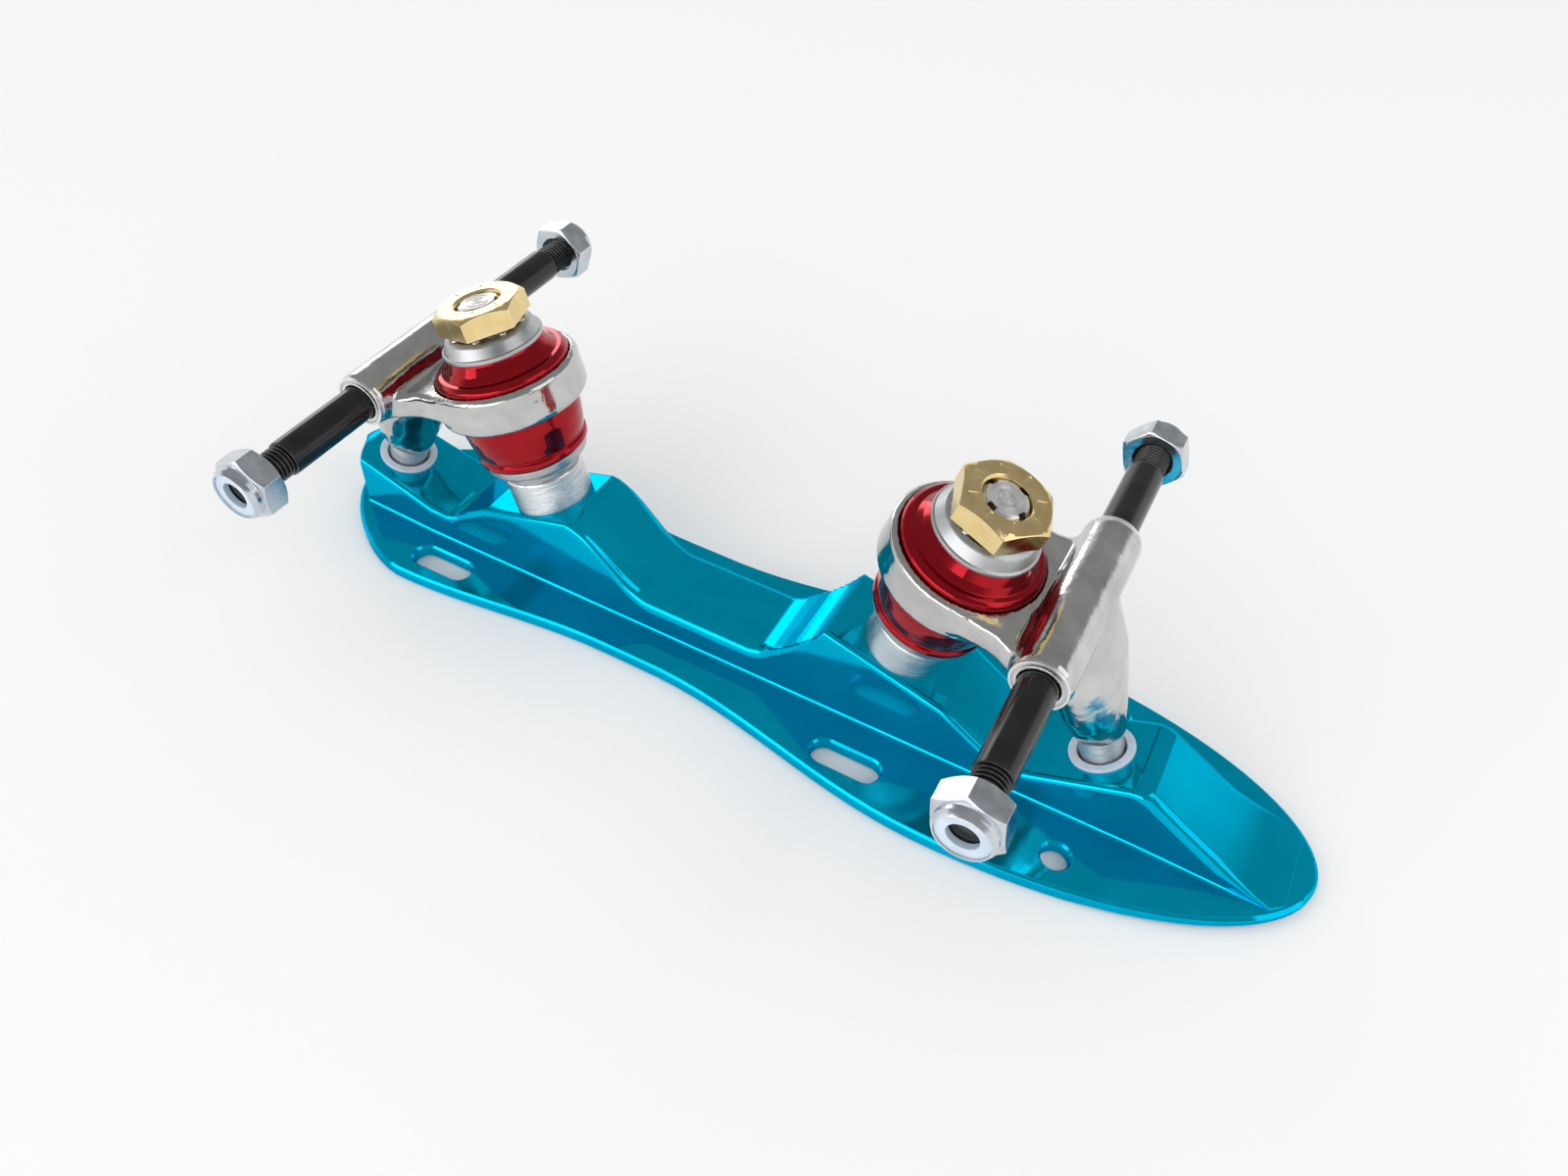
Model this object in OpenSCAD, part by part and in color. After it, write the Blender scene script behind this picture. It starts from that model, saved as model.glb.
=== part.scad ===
// Roller skate plate with two trucks, lying on its sole with the trucks up.
// Millimetres. +X points to the toe, +Z is up from the sole. The origin lies on the sole, at mid-length.

/* [Plate] */
// Distance between the two axles
wheelbase = 158; // [140:1:180]
// Plate behind the rear pivot
heel_overhang = 15.2; // [13:0.1:20]
// Plate in front of the front pivot
toe_overhang = 49.2; // [44:0.1:56]
// Thickness of the sole flange
flange_t = 3.2; // [2.6:0.1:4.2]
// How much thinner the flange is at the toe tip
toe_relief = 1.4; // [0:0.1:1.8]
// Length of that thinner stretch under the toe
toe_relief_len = 45; // [30:1:60]
// Chamfer on the flange's upper edge
flange_chamfer = 0.6; // [0.3:0.1:1]
// Width of the flange at the heel
heel_w = 50.4; // [46:0.2:58]
// Length of the rounded heel, from its end to its widest place
heel_round_len = 30; // [24:1:36]
// Exponent of the heel's rounding: 2 is an ellipse, less is more pointed
heel_exponent = 1.6; // [1.3:0.1:2.4]
// Width of the flange at the waist
waist_w = 40.4; // [36:0.2:46]
// Start of the waist, measured from midway between the axles
waist_from = -20; // [-28:1:-14]
// End of the waist, measured from midway between the axles
waist_to = -8; // [-12:1:0]
// Width of the flange at the ball of the foot
ball_w = 61; // [54:0.5:68]
// Widest place of the ball, measured from midway between the axles
ball_x = 66; // [56:1:74]

/* [Spine] */
// Width of the spine
spine_w = 21.2; // [20.4:0.2:24]
// Height of the spine's valley between the trucks
valley_z = 11.5; // [9:0.5:14]
// Edge rounding on the seats
seat_edge = 1.6; // [0.6:0.1:2]
// Edge rounding along the valley and at the heel
valley_edge = 3; // [1.5:0.1:4]
// Edge rounding on the toe slope
toe_edge = 2.8; // [1:0.1:4.2]
// Fillet between the spine and the flange
base_fillet = 1; // [0.5:0.1:1.6]
// Number of machined steps up the front kingpin seat's inner slope
front_terraces = 5; // [1:1:6]
// Number of machined steps up the rear kingpin seat's outer slope
rear_terraces = 4; // [1:1:4]
// Slope of the face between kingpin seat and pivot seat, in degrees
trough_slope = 33.5; // [28:0.5:40]
// Radius of the round bottom between kingpin seat and pivot seat
trough_round = 11; // [8:0.5:13]
// Length of the flat ridge ahead of the front pivot seat
toe_ridge_len = 4; // [2:0.5:6]
// Distance from the front pivot to the toe ridge
toe_ridge_out = 8.7; // [8.2:0.1:10]
// Distance from the end of the toe slope to the toe tip
toe_lip = 5; // [4:0.5:10]

/* [Mounting slots] */
// Width of the slots and diameter of the round holes
bolt_hole_d = 6.2; // [5.2:0.1:6.6]
// Chamfer around each slot and hole
bolt_chamfer = 0.5; // [0.2:0.1:0.8]
// Length of each slot from end to end
slot_len = 16.4; // [12:0.2:20]
// Rear slots: distance behind the middle between the axles
rear_slot_x = 69.5; // [60:0.5:74]
// Rear slots: distance apart across the plate
rear_slot_span = 36.4; // [35:0.2:38]
// Middle slots: distance ahead of the middle between the axles
mid_slot_x = 44.2; // [40:0.2:50]
// Middle slots: distance apart across the plate
mid_slot_span = 42.8; // [38:0.2:44]
// Front holes: distance ahead of the middle between the axles
front_hole_x = 92.5; // [86:0.5:98]
// Front holes: distance apart across the plate
front_hole_span = 42; // [38:0.2:44]

/* [Kingpin] */
// Lean of each kingpin away from the plate's middle, in degrees
kingpin_tilt = 16.7; // [12:0.1:20]
// Distance from each axle back to the middle of its kingpin seat
kingpin_in = 32.6; // [30:0.1:35]
// Height of the middle of the kingpin seat above the sole
kingpin_seat_z = 23; // [21:0.1:25]
// Kingpin diameter
kingpin_d = 10; // [8:0.5:10.5]
// Diameter of the kingpin's polished shoulder
shoulder_d = 18.7; // [16:0.1:19]
// Height of the shoulder
shoulder_h = 8.6; // [7:0.1:10]
// Depth of the kingpin's thread in the plate
kingpin_screw_len = 14; // [10:0.5:16]
// Width of the four click grooves along the kingpin's end
click_groove_w = 1.9; // [1:0.1:2.2]
// Depth of the click grooves
click_groove_depth = 1.2; // [0.5:0.1:1.5]
// Length of the click grooves
click_groove_len = 12; // [8:0.5:16]
// How far the kingpin's end lies below the nut's face
kingpin_recess = 0.3; // [0.2:0.1:1.5]

/* [Cushions and cups] */
// Height of the lower cup washer
lower_cup_h = 5; // [4:0.1:6]
// Diameter of the lower cup washer's rim
lower_cup_d = 24.2; // [22:0.1:26]
// Depth of the cushion's seat in both cup washers
cup_dish = 1; // [0.5:0.1:1.5]
// Wall of the cup washers around the cushion's seat
cup_lip = 0.7; // [0.5:0.1:1]
// Diameter of the lip at the lower cushion's foot
lower_lip_d = 26; // [25:0.2:26.6]
// Height of the lower cushion
lower_cushion_h = 16.2; // [14:0.1:18]
// Height of the upper cushion above the hanger's web
upper_cushion_h = 9.1; // [8:0.1:11]
// Radius of the bead around the upper cushion
cushion_bead = 1.6; // [1:0.1:2]
// Diameter of the upper cup washer's rim
upper_cup_d = 22.8; // [21:0.1:25]
// Height of the upper cup washer
upper_cup_h = 4; // [3.4:0.1:5]
// Diameter of the upper cup washer's flat top
upper_cup_top_d = 18.4; // [16.6:0.1:19]
// Number of click lugs on the upper cup washer, and of index lines on the nut
click_count = 8; // [4:1:12]
// Height of the click lugs
click_lug_h = 0.7; // [0.4:0.1:1]

/* [Adjusting nut] */
// Distance across the nut's flats
nut_flats = 18; // [16:0.5:20]
// Height of the nut
nut_h = 5; // [4:0.1:7]
// Width of the index lines
index_line_w = 0.5; // [0.3:0.05:0.8]
// Depth of the index lines
index_line_depth = 0.2; // [0.1:0.05:0.4]

/* [Hanger] */
// Outer diameter of the cushion ring
ring_d = 34; // [33.5:0.1:37]
// Height of the ring
ring_h = 9.2; // [8:0.1:11]
// Bevel on the ring's outer edges
ring_bevel = 0.9; // [0.4:0.1:1.2]
// Wall of the ring
ring_wall = 1.6; // [1.4:0.1:2]
// Thickness of the web inside the ring
web_t = 3.3; // [2.5:0.1:4]
// Diameter of the hole in the web
web_hole_d = 14; // [13:0.1:16]
// Width of the arm where it meets the axle boss
arm_w = 32.4; // [29:0.2:33]
// Height of the arm
arm_h = 6.2; // [4.6:0.1:7]
// How far below the axle the arm aims at the boss
arm_drop = 3.6; // [2:0.1:5]
// Diameter of the axle boss
boss_d = 12.4; // [12:0.1:13.6]
// Length of the axle boss
boss_len = 44.4; // [40:0.2:48]
// Diameter of the turned ring at each end of the boss
boss_ring_d = 11.6; // [11:0.1:12]
// Width of that ring
boss_ring_w = 1.2; // [0.8:0.1:2]
// Height of the axle above the sole
axle_z = 51.5; // [49:0.1:54]

/* [Pivot] */
// Distance from each axle out to its pivot
pivot_out = 13.8; // [12.5:0.1:15]
// Height of the pivot above the sole
pivot_z = 15.5; // [15:0.1:17]
// Slope of the front pivot seat, in degrees
front_pivot_slope = 23; // [18:0.5:25]
// Slope of the rear pivot seat, in degrees
rear_pivot_slope = 16; // [14:0.5:22]
// Lean of the hanger's leg and its pin, in degrees
leg_tilt = 20; // [17:0.5:22]
// Pivot pin diameter
pivot_pin_d = 9.4; // [8:0.1:9.8]
// Length of the pivot pin above the middle of its round tip
pivot_pin_len = 16; // [12:0.5:20]
// Diameter of the leg at its lower end
leg_end_d = 11.2; // [10.6:0.1:12.4]
// Thickness of the leg along the plate, at its thickest
leg_mid_d = 14; // [13:0.1:16]
// Thickness of the leg along the plate, inside the boss
leg_top_d = 11.4; // [11:0.1:12.8]
// Width of the leg across the plate, where it meets the boss
leg_spread = 27; // [20:0.5:32]
// Gap between the leg's end and the middle of the pin's tip
leg_gap = 6; // [4.5:0.1:7]
// Outer diameter of the pivot cup's body
pivot_cup_d = 12; // [11.4:0.1:13]
// Diameter of the pivot cup's flange
pivot_flange_d = 14; // [13.2:0.1:16]
// Thickness of the pivot cup's flange
pivot_flange_t = 0.8; // [0.5:0.1:1.5]
// Depth of the pivot cup's body below its flange
pivot_cup_depth = 7.4; // [6.8:0.1:8]

/* [Axle] */
// Axle diameter, for wheel bearings
axle_d = 8; // [7:0.1:8.2]
// Extra diameter of the axle's pressed middle, inside the boss
axle_press = 0.4; // [0.4:0.05:0.6]
// Length of the axle between its threads
axle_plain_len = 90; // [82:0.2:98]
// Length of each threaded end
thread_len = 11.6; // [10:0.2:11.8]
// Outer diameter of the thread
thread_d = 7.2; // [6:0.1:7.6]
// Pitch of the thread
thread_pitch = 1; // [0.8:0.05:1.25]
// Depth of the thread
thread_depth = 0.5; // [0.3:0.05:0.6]
// Distance across the lock nut's flats
lock_nut_flats = 13; // [12:0.1:14]
// Height of the lock nut's hexagon
lock_nut_h = 5.8; // [5:0.1:7]
// Height of the lock nut's crimped collar
lock_collar_h = 2.2; // [2:0.1:3]
// Outer diameter of the collar
lock_collar_d = 12; // [11.4:0.1:12.4]
// Thread left bare between the axle's shoulder and the lock nut
thread_bare = 5.6; // [5.4:0.1:7]

/* [Clearances] */
// Radial clearance of running fits
run_gap = 0.05; // [0.02:0.01:0.1]
// Gap between soft cushions and the metal beside them
soft_gap = 0.3; // [0.2:0.05:0.5]
// Room between the lower cushion's belly and the hanger's ring
belly_gap = 1.5; // [0.5:0.1:2]
// Gap around the pin's tip in the pivot cup
socket_gap = 0.3; // [0.2:0.05:0.4]
// Gap between the nut and the click lugs
click_gap = 0.3; // [0.2:0.05:0.5]

/* [Hidden] */
$fn = 64;

ALLOY = "darkturquoise";
CAST = "silver";
ZINC = "lightsteelblue";
STEEL = "gray";
BLACK_STEEL = "dimgray";
BRASS = "goldenrod";
URETHANE = "firebrick";
NYLON = "whitesmoke";

// Places along the plate, measured from midway between the axles
axle_x = wheelbase / 2;
pivot_x = axle_x + pivot_out;
seat_x = axle_x - kingpin_in;
heel_x = -pivot_x - heel_overhang;
toe_x = pivot_x + toe_overhang;
plate_len = toe_x - heel_x;
mid_x = -(heel_x + toe_x) / 2;

// Heights along the kingpin, measured from its seat
cushion_low = shoulder_h + lower_cup_h - cup_dish;
web_low = cushion_low + lower_cushion_h + soft_gap;
web_high = web_low + web_t;
ring_low = (web_low + web_high - ring_h) / 2;
ring_mid = ring_low + ring_h / 2;
cushion_high = web_high + soft_gap + upper_cushion_h;
upper_cup_low = cushion_high - cup_dish;
upper_cup_high = upper_cup_low + upper_cup_h;
nut_low = upper_cup_high + click_lug_h + click_gap;
nut_high = nut_low + nut_h;
kingpin_end = nut_high - kingpin_recess;
ring_inner_r = ring_d / 2 - ring_wall;
ring_high = ring_low + ring_h;
bead_high = ring_high + cushion_bead;

// The hanger in side view: the middle of its ring
ring_x = seat_x + ring_mid * sin(kingpin_tilt);
ring_z = kingpin_seat_z + ring_mid * cos(kingpin_tilt);
// The axle seen from the ring's middle: along the ring's plane, and above it
arm_run = (axle_x - ring_x) * cos(kingpin_tilt) - (axle_z - ring_z) * sin(kingpin_tilt);
arm_rise = (axle_x - ring_x) * sin(kingpin_tilt) + (axle_z - ring_z) * cos(kingpin_tilt) - arm_drop;
arm_lift = atan(arm_rise / arm_run);
arm_len = norm([arm_run, arm_rise]);
leg_len = (axle_z - pivot_z) / cos(leg_tilt);
socket_r = pivot_pin_d / 2 + socket_gap;
pivot_depth = pivot_flange_t + pivot_cup_depth;

// A smooth step from 0 to 1
function ease(t) = (1 - cos(180 * t)) / 2;

// Half the flange's width at x
heel_wide_x = heel_x + heel_round_len;
function heel_half(x) =
    heel_w / 2 * pow(max(0, 1 - pow((heel_wide_x - x) / heel_round_len, heel_exponent)), 1 / heel_exponent);
function toe_half(x) = ball_w / 2 * sqrt(max(0, 1 - pow((x - ball_x) / (toe_x - ball_x), 2)));
function between(x, x0, w0, x1, w1) = (w0 + (w1 - w0) * ease((x - x0) / (x1 - x0))) / 2;
function half_width(x) =
    x < heel_wide_x ? heel_half(x)
    : x < waist_from ? between(x, heel_wide_x, heel_w, waist_from, waist_w)
    : x < waist_to ? waist_w / 2
    : x < ball_x ? between(x, waist_to, waist_w, ball_x, ball_w)
    : toe_half(x);

// The flange's outline, drawn in by inset, with its points closest at both ends
outline_steps = 72;
function outline_x(i) = (heel_x + toe_x) / 2 - plate_len / 2 * cos(180 * i / outline_steps);
function drawn_in(i, inset) = max(0, half_width(outline_x(i)) - inset);
function end_shift(i, inset) = inset * cos(180 * i / outline_steps);
function outline(inset) = concat(
    [for (i = [0:outline_steps]) [outline_x(i) + end_shift(i, inset), -drawn_in(i, inset)]],
    [for (i = [outline_steps - 1:-1:1]) [outline_x(i) + end_shift(i, inset), drawn_in(i, inset)]]);

// Faces across a loop that is alike on both sides. tips is 1 if a single point ends it fore and aft.
function across(count, tips) = let (half = count / 2) concat(
    tips == 1 ? [[0, 1, count - 1], [half - 1, half, half + 1]] : [],
    [for (k = [tips:half - 2]) [k, k + 1, count - 2 - k + tips, count - 1 - k + tips]]);

// A closed skin over rings of points that all have the same count
module skin(rings, tips) {
    count = len(rings[0]);
    last = len(rings) - 1;
    points = [for (ring = rings) each ring];
    sides = [for (k = [0:last - 1]) for (i = [0:count - 1])
        let (a = k * count + i, b = k * count + (i + 1) % count)
        each [[a, a + count, b], [b, a + count, b + count]]];
    low_cap = across(count, tips);
    high_cap = [for (face = low_cap) [for (k = [len(face) - 1:-1:0]) last * count + face[k]]];
    polyhedron(points, concat(sides, low_cap, high_cap), convexity = 6);
}

function lifted(loop, z) = [for (p = loop) [p[0], p[1], z]];
sole_cut = 1;
module flange() {
    skin([lifted(outline(0), -sole_cut), lifted(outline(0), flange_t - flange_chamfer),
        lifted(outline(flange_chamfer), flange_t)], 1);
}

// The spine's top line: slanted seats for the kingpins and the pivots, joined by slopes
seat_reach_out = 13.4;
rear_reach_in = 10.4;
front_reach_in = 15;
rear_slope_len = 23;
front_slope_len = 18.4;
heel_drop = 3.2;
boss_out_x = seat_x + seat_reach_out;
rear_crest_x = seat_x - rear_reach_in;
front_crest_x = seat_x - front_reach_in;
function kingpin_seat(m) = kingpin_seat_z - (m - seat_x) * tan(kingpin_tilt);
function pivot_seat(m, slope) = pivot_z + (m - pivot_x) * tan(slope);
function trough_x(slope) = (kingpin_seat(boss_out_x) + boss_out_x * tan(trough_slope)
    - pivot_z + pivot_x * tan(slope)) / (tan(trough_slope) + tan(slope));
ridge_x = pivot_x + toe_ridge_out;
ridge_z = pivot_seat(ridge_x, front_pivot_slope);
slope_top_x = ridge_x + toe_ridge_len;
slope_end_x = toe_x - toe_lip;
slope_end_z = flange_t + 0.12;
toe_blend = 0.4;
toe_flare = 0.8;
toe_crown = 0.35;

// The round bottom between a pivot seat and a kingpin seat, seen from the plate's middle outward.
// share runs from 0 at the pivot seat to 1 at the kingpin seat's slope.
function trough_point(slope, share) = let (
    run = trough_round * tan((slope + trough_slope) / 2),
    seat_end = trough_x(slope) + run * cos(slope),
    lean = slope - (slope + trough_slope) * share)
    [seat_end - trough_round * (sin(slope) - sin(lean)),
        pivot_seat(seat_end, slope) + trough_round * (cos(slope) - cos(lean))];
function mirrored(p) = [-p[0], p[1]];

// Machined steps: at each point of a rising line a short riser, with flatter treads between
step_run = 0.2;
step_rise = 0.5;
step_half = [step_run / 2, step_rise / 2];
function stepped(points) = [for (p = points) each [p - step_half, p + step_half]];
function spread(from, to, count) = [for (k = [0:count - 1]) from + (to - from) * k / max(1, count - 1)];
slope_steps = 12;
function s_slope(from, to) = [for (k = [0:slope_steps]) let (t = k / slope_steps)
    [from[0] + (to[0] - from[0]) * t, from[1] + (to[1] - from[1]) * ease(t)]];
// The toe slope is hollow and runs out level with the flange
function toe_hollow(u) = u * u * (1 + toe_blend) / (u + toe_blend);
function toe_slope() = [for (k = [0:slope_steps]) let (t = k / slope_steps)
    [slope_top_x + (slope_end_x - slope_top_x) * t,
        slope_end_z + (ridge_z - slope_end_z) * toe_hollow(1 - t), toe_edge]];

// The slope from the valley up to the front kingpin seat: hollow, with one wide step and a row of narrow ones
front_hollow = 1.7;
wide_step_at = 0.46;
narrow_steps = [0.62, 0.93];
function front_step_shares() = concat(
    [wide_step_at],
    spread(narrow_steps[0], narrow_steps[1], front_terraces));
function front_rise(share) = [valley_to[0] + (front_crest[0] - valley_to[0]) * share,
    valley_to[1] + (front_crest[1] - valley_to[1]) * pow(share, front_hollow)];
// The valley's wide edge rounding ends in a round nose on this slope
nose_from = 0.1;
nose_len = 0.24;
function nose_edge(share) = let (t = min(1, max(0, (share - nose_from) / nose_len)))
    seat_edge + (valley_edge - seat_edge) * sqrt(1 - t * t);
nose_steps = 8;
function front_slope() = concat(
    [for (k = [0:nose_steps]) let (share = (nose_from + nose_len) * k / nose_steps)
        [front_rise(share)[0], front_rise(share)[1], nose_edge(share)]],
    with_edge(stepped([for (share = front_step_shares()) front_rise(share)]), seat_edge));

// The rear trough: a flat floor, then steps
rear_steps = [0.58, 0.94];
function rear_floor() = concat(
    [mirrored(trough_point(rear_pivot_slope, 0))],
    stepped([for (share = spread(rear_steps[0], rear_steps[1], rear_terraces))
        mirrored(trough_point(rear_pivot_slope, share))]),
    [mirrored(trough_point(rear_pivot_slope, 1)) + step_half]);
floor_steps = 5;
function front_floor() = [for (k = [floor_steps:-1:0]) trough_point(front_pivot_slope, k / floor_steps)];

// The ridge ahead of the front pivot seat, slightly crowned
ridge_steps = 5;
function toe_ridge() = [for (k = [0:ridge_steps - 1]) let (t = k / ridge_steps)
    [ridge_x + toe_ridge_len * t,
        ridge_z + 4 * toe_crown * t * (1 - t),
        seat_edge + (toe_edge - seat_edge) * t]];

heel_steps = 6;
heel_round = 6;
heel_edge = 4;
spine_inset = base_fillet + flange_chamfer + 0.4;
spine_heel_x = heel_x + spine_inset;
function heel_end() = [for (k = [0:heel_steps]) let (t = k / heel_steps, x = spine_heel_x + heel_round * t)
    [x, pivot_seat(-x, rear_pivot_slope) - heel_drop * pow(1 - t, 2),
        heel_edge - (heel_edge - seat_edge) * t]];
rear_boss = [-boss_out_x, kingpin_seat(boss_out_x)];
rear_crest = [-rear_crest_x, kingpin_seat(rear_crest_x)];
front_boss = [boss_out_x, kingpin_seat(boss_out_x)];
front_crest = [front_crest_x, kingpin_seat(front_crest_x)];
valley_from = [-rear_crest_x + rear_slope_len, valley_z];
valley_to = [front_crest_x - front_slope_len, valley_z];
function with_edge(points, edge) = [for (p = points) [p[0], p[1], edge]];
function fading(points, edge0, edge1) = [for (k = [0:len(points) - 1])
    [points[k][0], points[k][1], edge0 + (edge1 - edge0) * k / (len(points) - 1)]];
top_line = concat(
    heel_end(),
    with_edge(rear_floor(), seat_edge),
    with_edge([rear_boss], seat_edge),
    fading(s_slope(rear_crest, valley_from), seat_edge, valley_edge),
    front_slope(),
    with_edge([front_crest, front_boss], seat_edge),
    with_edge(front_floor(), seat_edge),
    toe_ridge(),
    toe_slope());

// One cross section of the spine: flared foot, upright wall, rounded top edge
corner_steps = 4;
foot_sink = 0.05;
function flange_room(x) = min(half_width(x), half_width(x - spine_inset)) - spine_inset;
function toe_share(x) = min(1, max(0, (x - slope_top_x) / (slope_end_x - slope_top_x)));
function spine_half(x) = max(1, min(spine_w / 2 + toe_flare * toe_share(x), flange_room(x)));
function edge_room(z, edge) = min(edge, (z - flange_t) * 0.45);
function foot(z) = min(base_fillet, (z - flange_t) * 0.4);
function flank(x, z, edge) = let (
    w = spine_half(x),
    e = min(edge_room(z, edge), w * 0.6),
    f = foot(z)) concat(
    [[w + f, flange_t - 1], [w + f, flange_t - foot_sink]],
    [for (k = [1:corner_steps - 1]) let (a = 90 * k / corner_steps)
        [w + f * (1 - sin(a)), flange_t + f * (1 - cos(a))]],
    [for (k = [0:corner_steps]) let (a = 90 * k / corner_steps)
        [w - e * (1 - cos(a)), z - e * (1 - sin(a))]]);
function section(p) = let (side = flank(p[0], p[1], p[2]), last = len(side) - 1) concat(
    [for (k = [0:last]) [p[0], side[k][0], side[k][1]]],
    [for (k = [last:-1:0]) [p[0], -side[k][0], side[k][1]]]);
module spine() { skin([for (p = top_line) section(p)], 0); }

// Frames: a truck's own side, its kingpin and its pivot
module on_plate() { translate([mid_x, 0, 0]) children(); }
module on_side(rear) { on_plate() mirror([rear ? 1 : 0, 0, 0]) children(); }
module on_kingpin() { translate([seat_x, 0, kingpin_seat_z]) rotate([0, kingpin_tilt, 0]) children(); }
module on_pivot(tilt) { translate([pivot_x, 0, pivot_z]) rotate([0, -tilt, 0]) children(); }
module on_axle() { translate([axle_x, 0, axle_z]) rotate([-90, 0, 0]) children(); }
module both_ends() {
    children();
    mirror([0, 0, 1]) children();
}
module turned(points) { rotate_extrude($fn = 96) polygon(points); }

cut_past = 1;
module slot(x, span, length) {
    for (side = [-1, 1]) translate([x, side * span / 2, 0]) {
        slot_prism(length, bolt_hole_d, -cut_past, flange_t + cut_past);
        for (end = [-1, 1]) translate([end * (length - bolt_hole_d) / 2, 0, flange_t - bolt_chamfer])
            cylinder(h = 2 * bolt_chamfer, d1 = bolt_hole_d, d2 = bolt_hole_d + 4 * bolt_chamfer, $fn = 48);
        if (length > bolt_hole_d) translate([0, 0, flange_t]) rotate([90, 0, 90])
            linear_extrude(length - bolt_hole_d, center = true) polygon([
                [-bolt_hole_d / 2, -bolt_chamfer], [bolt_hole_d / 2, -bolt_chamfer],
                [bolt_hole_d / 2 + 2 * bolt_chamfer, bolt_chamfer],
                [-bolt_hole_d / 2 - 2 * bolt_chamfer, bolt_chamfer]]);
    }
}
module slot_prism(length, width, z0, z1) {
    for (end = [-1, 1]) translate([end * (length - width) / 2, 0, z0]) cylinder(h = z1 - z0, d = width);
    if (length > width) translate([-(length - width) / 2, -width / 2, z0])
        cube([length - width, width, z1 - z0]);
}

module plate() color(ALLOY) on_plate() difference() {
    union() {
        flange();
        spine();
    }
    translate([heel_x - cut_past, -ball_w, -sole_cut - cut_past])
        cube([plate_len + 2 * cut_past, 2 * ball_w, sole_cut + cut_past]);
    translate([toe_x - toe_relief_len, -ball_w, 0]) rotate([0, -atan(toe_relief / toe_relief_len), 0])
        translate([-toe_relief_len / 2, 0, -2 * sole_cut])
            cube([2 * toe_relief_len, 2 * ball_w, 2 * sole_cut]);
    slot(-rear_slot_x, rear_slot_span, slot_len);
    slot(mid_slot_x, mid_slot_span, slot_len);
    slot(front_hole_x, front_hole_span, bolt_hole_d);
    for (rear = [0, 1]) mirror([rear, 0, 0]) {
        on_kingpin() translate([0, 0, -kingpin_screw_len - cut_past])
            cylinder(h = kingpin_screw_len + 2 * cut_past, d = kingpin_d + 2 * run_gap);
        on_pivot(rear ? rear_pivot_slope : front_pivot_slope) translate([0, 0, -pivot_depth])
            cylinder(h = pivot_depth + cut_past, d = pivot_cup_d + 2 * run_gap);
    }
}

// Length of the chamfer at the kingpin's end, and how far each kingpin's grooves are screwed round
kingpin_point = 1;
front_groove_turn = 66;
rear_groove_turn = 61;
module kingpin(rear) color(STEEL) on_side(rear) on_kingpin() difference() {
    union() {
        cylinder(h = shoulder_h, d = shoulder_d);
        translate([0, 0, -kingpin_screw_len])
            cylinder(h = kingpin_screw_len + kingpin_end - kingpin_point, d = kingpin_d);
        translate([0, 0, kingpin_end - kingpin_point])
            cylinder(h = kingpin_point, d1 = kingpin_d, d2 = kingpin_d - 1.2 * kingpin_point);
    }
    for (turn = [0:3]) rotate((rear ? rear_groove_turn : front_groove_turn) + 90 * turn)
        translate([kingpin_d / 2 - click_groove_depth, -click_groove_w / 2, kingpin_end - click_groove_len])
            cube([kingpin_d, click_groove_w, click_groove_len + cut_past]);
}

module lower_cup(rear) color(ZINC) on_side(rear) on_kingpin() {
    rim = lower_cup_d / 2;
    neck = shoulder_d / 2 - 0.5;
    bore = kingpin_d / 2 + run_gap;
    high = shoulder_h + lower_cup_h;
    turned([[bore, shoulder_h], [neck, shoulder_h], [neck, shoulder_h + 1.2], [rim, high - cup_dish - 0.6],
        [rim, high], [rim - cup_lip, high], [rim - cup_lip, high - cup_dish], [bore, high - cup_dish]]);
}

// The lower cushion: a lip that overhangs the cup, then a barrel that swells up into the hanger's ring
module lower_cushion(rear) color(URETHANE) on_side(rear) on_kingpin() {
    bore = kingpin_d / 2 + soft_gap;
    foot = lower_cup_d / 2 - cup_lip - soft_gap;
    belly = ring_inner_r - belly_gap;
    lip = lower_lip_d / 2;
    base = cushion_low;
    lip_z = base + cup_dish + soft_gap;
    groove_z = lip_z + 2;
    high = base + lower_cushion_h;
    turned(concat([[bore, base], [foot, base], [foot, lip_z], [lip - 0.4, lip_z], [lip, lip_z + 0.6],
        [lip, groove_z - 0.4], [lip - 0.4, groove_z]],
        [for (k = [1:8]) let (t = k / 8)
            [lip + (belly - lip) * sin(90 * t), groove_z + (high - groove_z - 1) * t]],
        [[belly - 0.6, high], [bore, high]]));
}

// The upper cushion: a rolled rim at ring height, then a cone up to the cup
module upper_cushion(rear) color(URETHANE) on_side(rear) on_kingpin() {
    bore = kingpin_d / 2 + soft_gap;
    rim = ring_inner_r - soft_gap;
    top = upper_cup_d / 2 - cup_lip - soft_gap;
    base = web_high + soft_gap;
    bead = cushion_bead;
    turned(concat([[bore, base], [rim - 0.6, base], [rim, base + 0.6]],
        [for (k = [0:6]) let (a = 15 * k) [rim - bead * (1 - cos(a)), ring_high + bead * sin(a)]],
        [[rim - bead - 0.3, bead_high], [top, base + upper_cushion_h - cup_dish],
            [top, base + upper_cushion_h], [bore, base + upper_cushion_h]]));
}

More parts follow.
